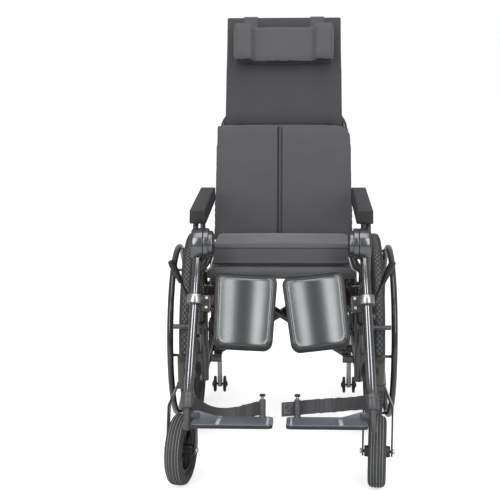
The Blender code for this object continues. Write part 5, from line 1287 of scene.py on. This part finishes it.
pillow = pressed(pillow, BACK, pillow_seams)
lay(pillow, cloth, "pillow", "charcoal_cloth", "headrest_pillow")
# Faces that look downwards take the near-black cloth, as painted shade on the underside.
pillow.data.materials.append(shade_black_cloth)
down = BACK.to_3x3() @ Vector((0, -1, 0))
for face in pillow.data.polygons:
    face.material_index = int(face.normal.dot(down) > 0.6)
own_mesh(pillow)
tabs = []
for x in (-0.103, 0.103):
    # The front end reaches far enough down to stay behind the pillow when that slides to its lowest.
    line = [(0.628, 0.0330), (0.725, 0.0330), (0.7430, 0.0310), (0.7465, 0.0270)]
    line += [(0.7465, 0.0140), (0.7430, 0.0085), (0.690, 0.0072)]
    line = [BACK @ point for point in eased([(x, y, z) for y, z in line], 0.002, 3)]
    tabs.append(ribbon("tab", line, [Vector((1, 0, 0))] * len(line), 0.042, 0.0012, 4))
tabs = joined("headrest_tabs", *tabs)
lay(tabs, cloth, "back_left", "charcoal_cloth")
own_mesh(tabs)
print("pillow:", len(pillow.data.polygons), "faces")

# %% [markdown]
# ## Sleeves behind the back
# Behind, the covers end in sleeves that slide over the posts. Each is a thin cloth tube, pinched at
# its ends, from a short profile on the lathe. Its front is cut away, where the cover it is sewn to
# lies on the post.

# %% Post sleeves
SLEEVES = {
    "back_sleeve_left": (0.190, 0.0130, 0.060, 0.345),
    "head_sleeve_left": (0.160, 0.0100, 0.475, 0.735),
}
for name, (x, radius, low_y, high_y) in SLEEVES.items():
    profile = [(low_y, radius - 0.0018), (low_y + 0.004, radius), (low_y + 0.012, radius + 0.0004)]
    profile += [(high_y - 0.012, radius + 0.0004), (high_y - 0.004, radius), (high_y, radius - 0.0018)]
    sleeve = turned(name, profile, BACK @ Matrix.Translation((x, 0, 0)) @ ALONG_Y, 32)
    pick(sleeve, everything)
    open_side = BACK.to_3x3() @ Vector((0, 0, 1))
    cut = BACK @ Vector((0, 0, 0.5 * radius))
    bpy.ops.mesh.bisect(plane_co=cut, plane_no=open_side, clear_outer=True)
    done()
    both(unwrapped(thickened(sleeve, 0.0012)), cloth, "back_{}", "charcoal_cloth")
print("sleeves on the back and head posts")

# %% [markdown]
# ## The seat
# The seat is a padded sling between the seat rails, with a rolled front edge. A boxed foam cushion
# lies on it. The cushion's cover is sewn from flat panels, so its edges stay crisp and its sides pull
# in only a little. A piping cord runs along both seams: rays cast inwards find the cover, and the
# cord is laid where they land.

# %% Seat sling and cushion
def seat_place(front_y, height):
    """The seat's frame at this front edge: x across, y back along the slope, z out of the seat."""
    slope = math.radians(6.4)
    z = 0.530 + (-0.200 - front_y) * math.tan(slope) + (0.011 + height) / math.cos(slope)
    return leaning((0, AXLE.y + front_y, z), math.pi / 2 + slope)


SLING, CUSHION = seat_place(-0.390, 0.0), seat_place(-0.362, 0.040)


def sling_form(u, v, w):
    share = (v + 1) / 2
    thin = 1 - 0.25 * max(abs(u) ** 10, abs(v) ** 10)
    across = u * 0.2080 * (1 - 0.012 * math.sin(math.pi * share))
    return (across, 0.002 + 0.376 * share, 0.0185 + w * 0.0160 * thin)


sling = stuffed(padform("seat_sling_cover", 24, sling_form, SLING), 0.006, 0.003, SLING, 0.010)
sling = pressed(sling, SLING, lambda x, y, z: -0.003 * groove(y - 0.034, 0.004) if z > 0.02 else 0.0)
lay(sling, cloth, "seat", "charcoal_cloth", "seat_sling")
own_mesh(sling)


def cushion_form(u, v, w):
    share = (v + 1) / 2
    sides = 1 - 0.012 * (1 - v * v)
    crown = 0.006 * (1 - u * u) * (1 - v * v) * (w > 0)
    return (u * 0.2005 * sides, 0.002 + 0.335 * share, 0.0285 + w * 0.0265 + crown)


pad = stuffed(padform("seat_cushion_cover", 24, cushion_form, CUSHION), 0.006, 0.004, CUSHION, 0.006)
pad = unwrapped(pad)
lay(pad, cloth, "cushion", "charcoal_cloth", "seat_cushion")
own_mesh(pad)
faces = [face.vertices for face in pad.data.polygons]
cover = BVHTree.FromPolygons([v.co for v in pad.data.vertices], faces)
for name, height in (("cushion_piping_top", 0.0490), ("cushion_piping_base", 0.0075)):
    line = []
    for k in range(121):
        turn = k * math.tau / 120
        x, y = [math.copysign(abs(part) ** 0.2, part) for part in (math.cos(turn), math.sin(turn))]
        start = CUSHION @ Vector((0.26 * x, 0.1695 + 0.23 * y, height))
        inwards = CUSHION @ Vector((0.13 * x, 0.1695 + 0.11 * y, height)) - start
        line.append(cover.ray_cast(start, inwards.normalized())[0])
    piping = unwrapped(bent(name, line, 0.0018))
    lay(piping, shaded_cloth, "cushion", "charcoal_cloth")
    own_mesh(piping)
print("cushion:", len(pad.data.polygons), "faces")

# %% Sizes, then finish
new_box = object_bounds()
for label, (low, high) in (("visual", new_box), ("cad", CAD_BOX)):
    print(label, "box", [round(x, 4) for x in high - low])
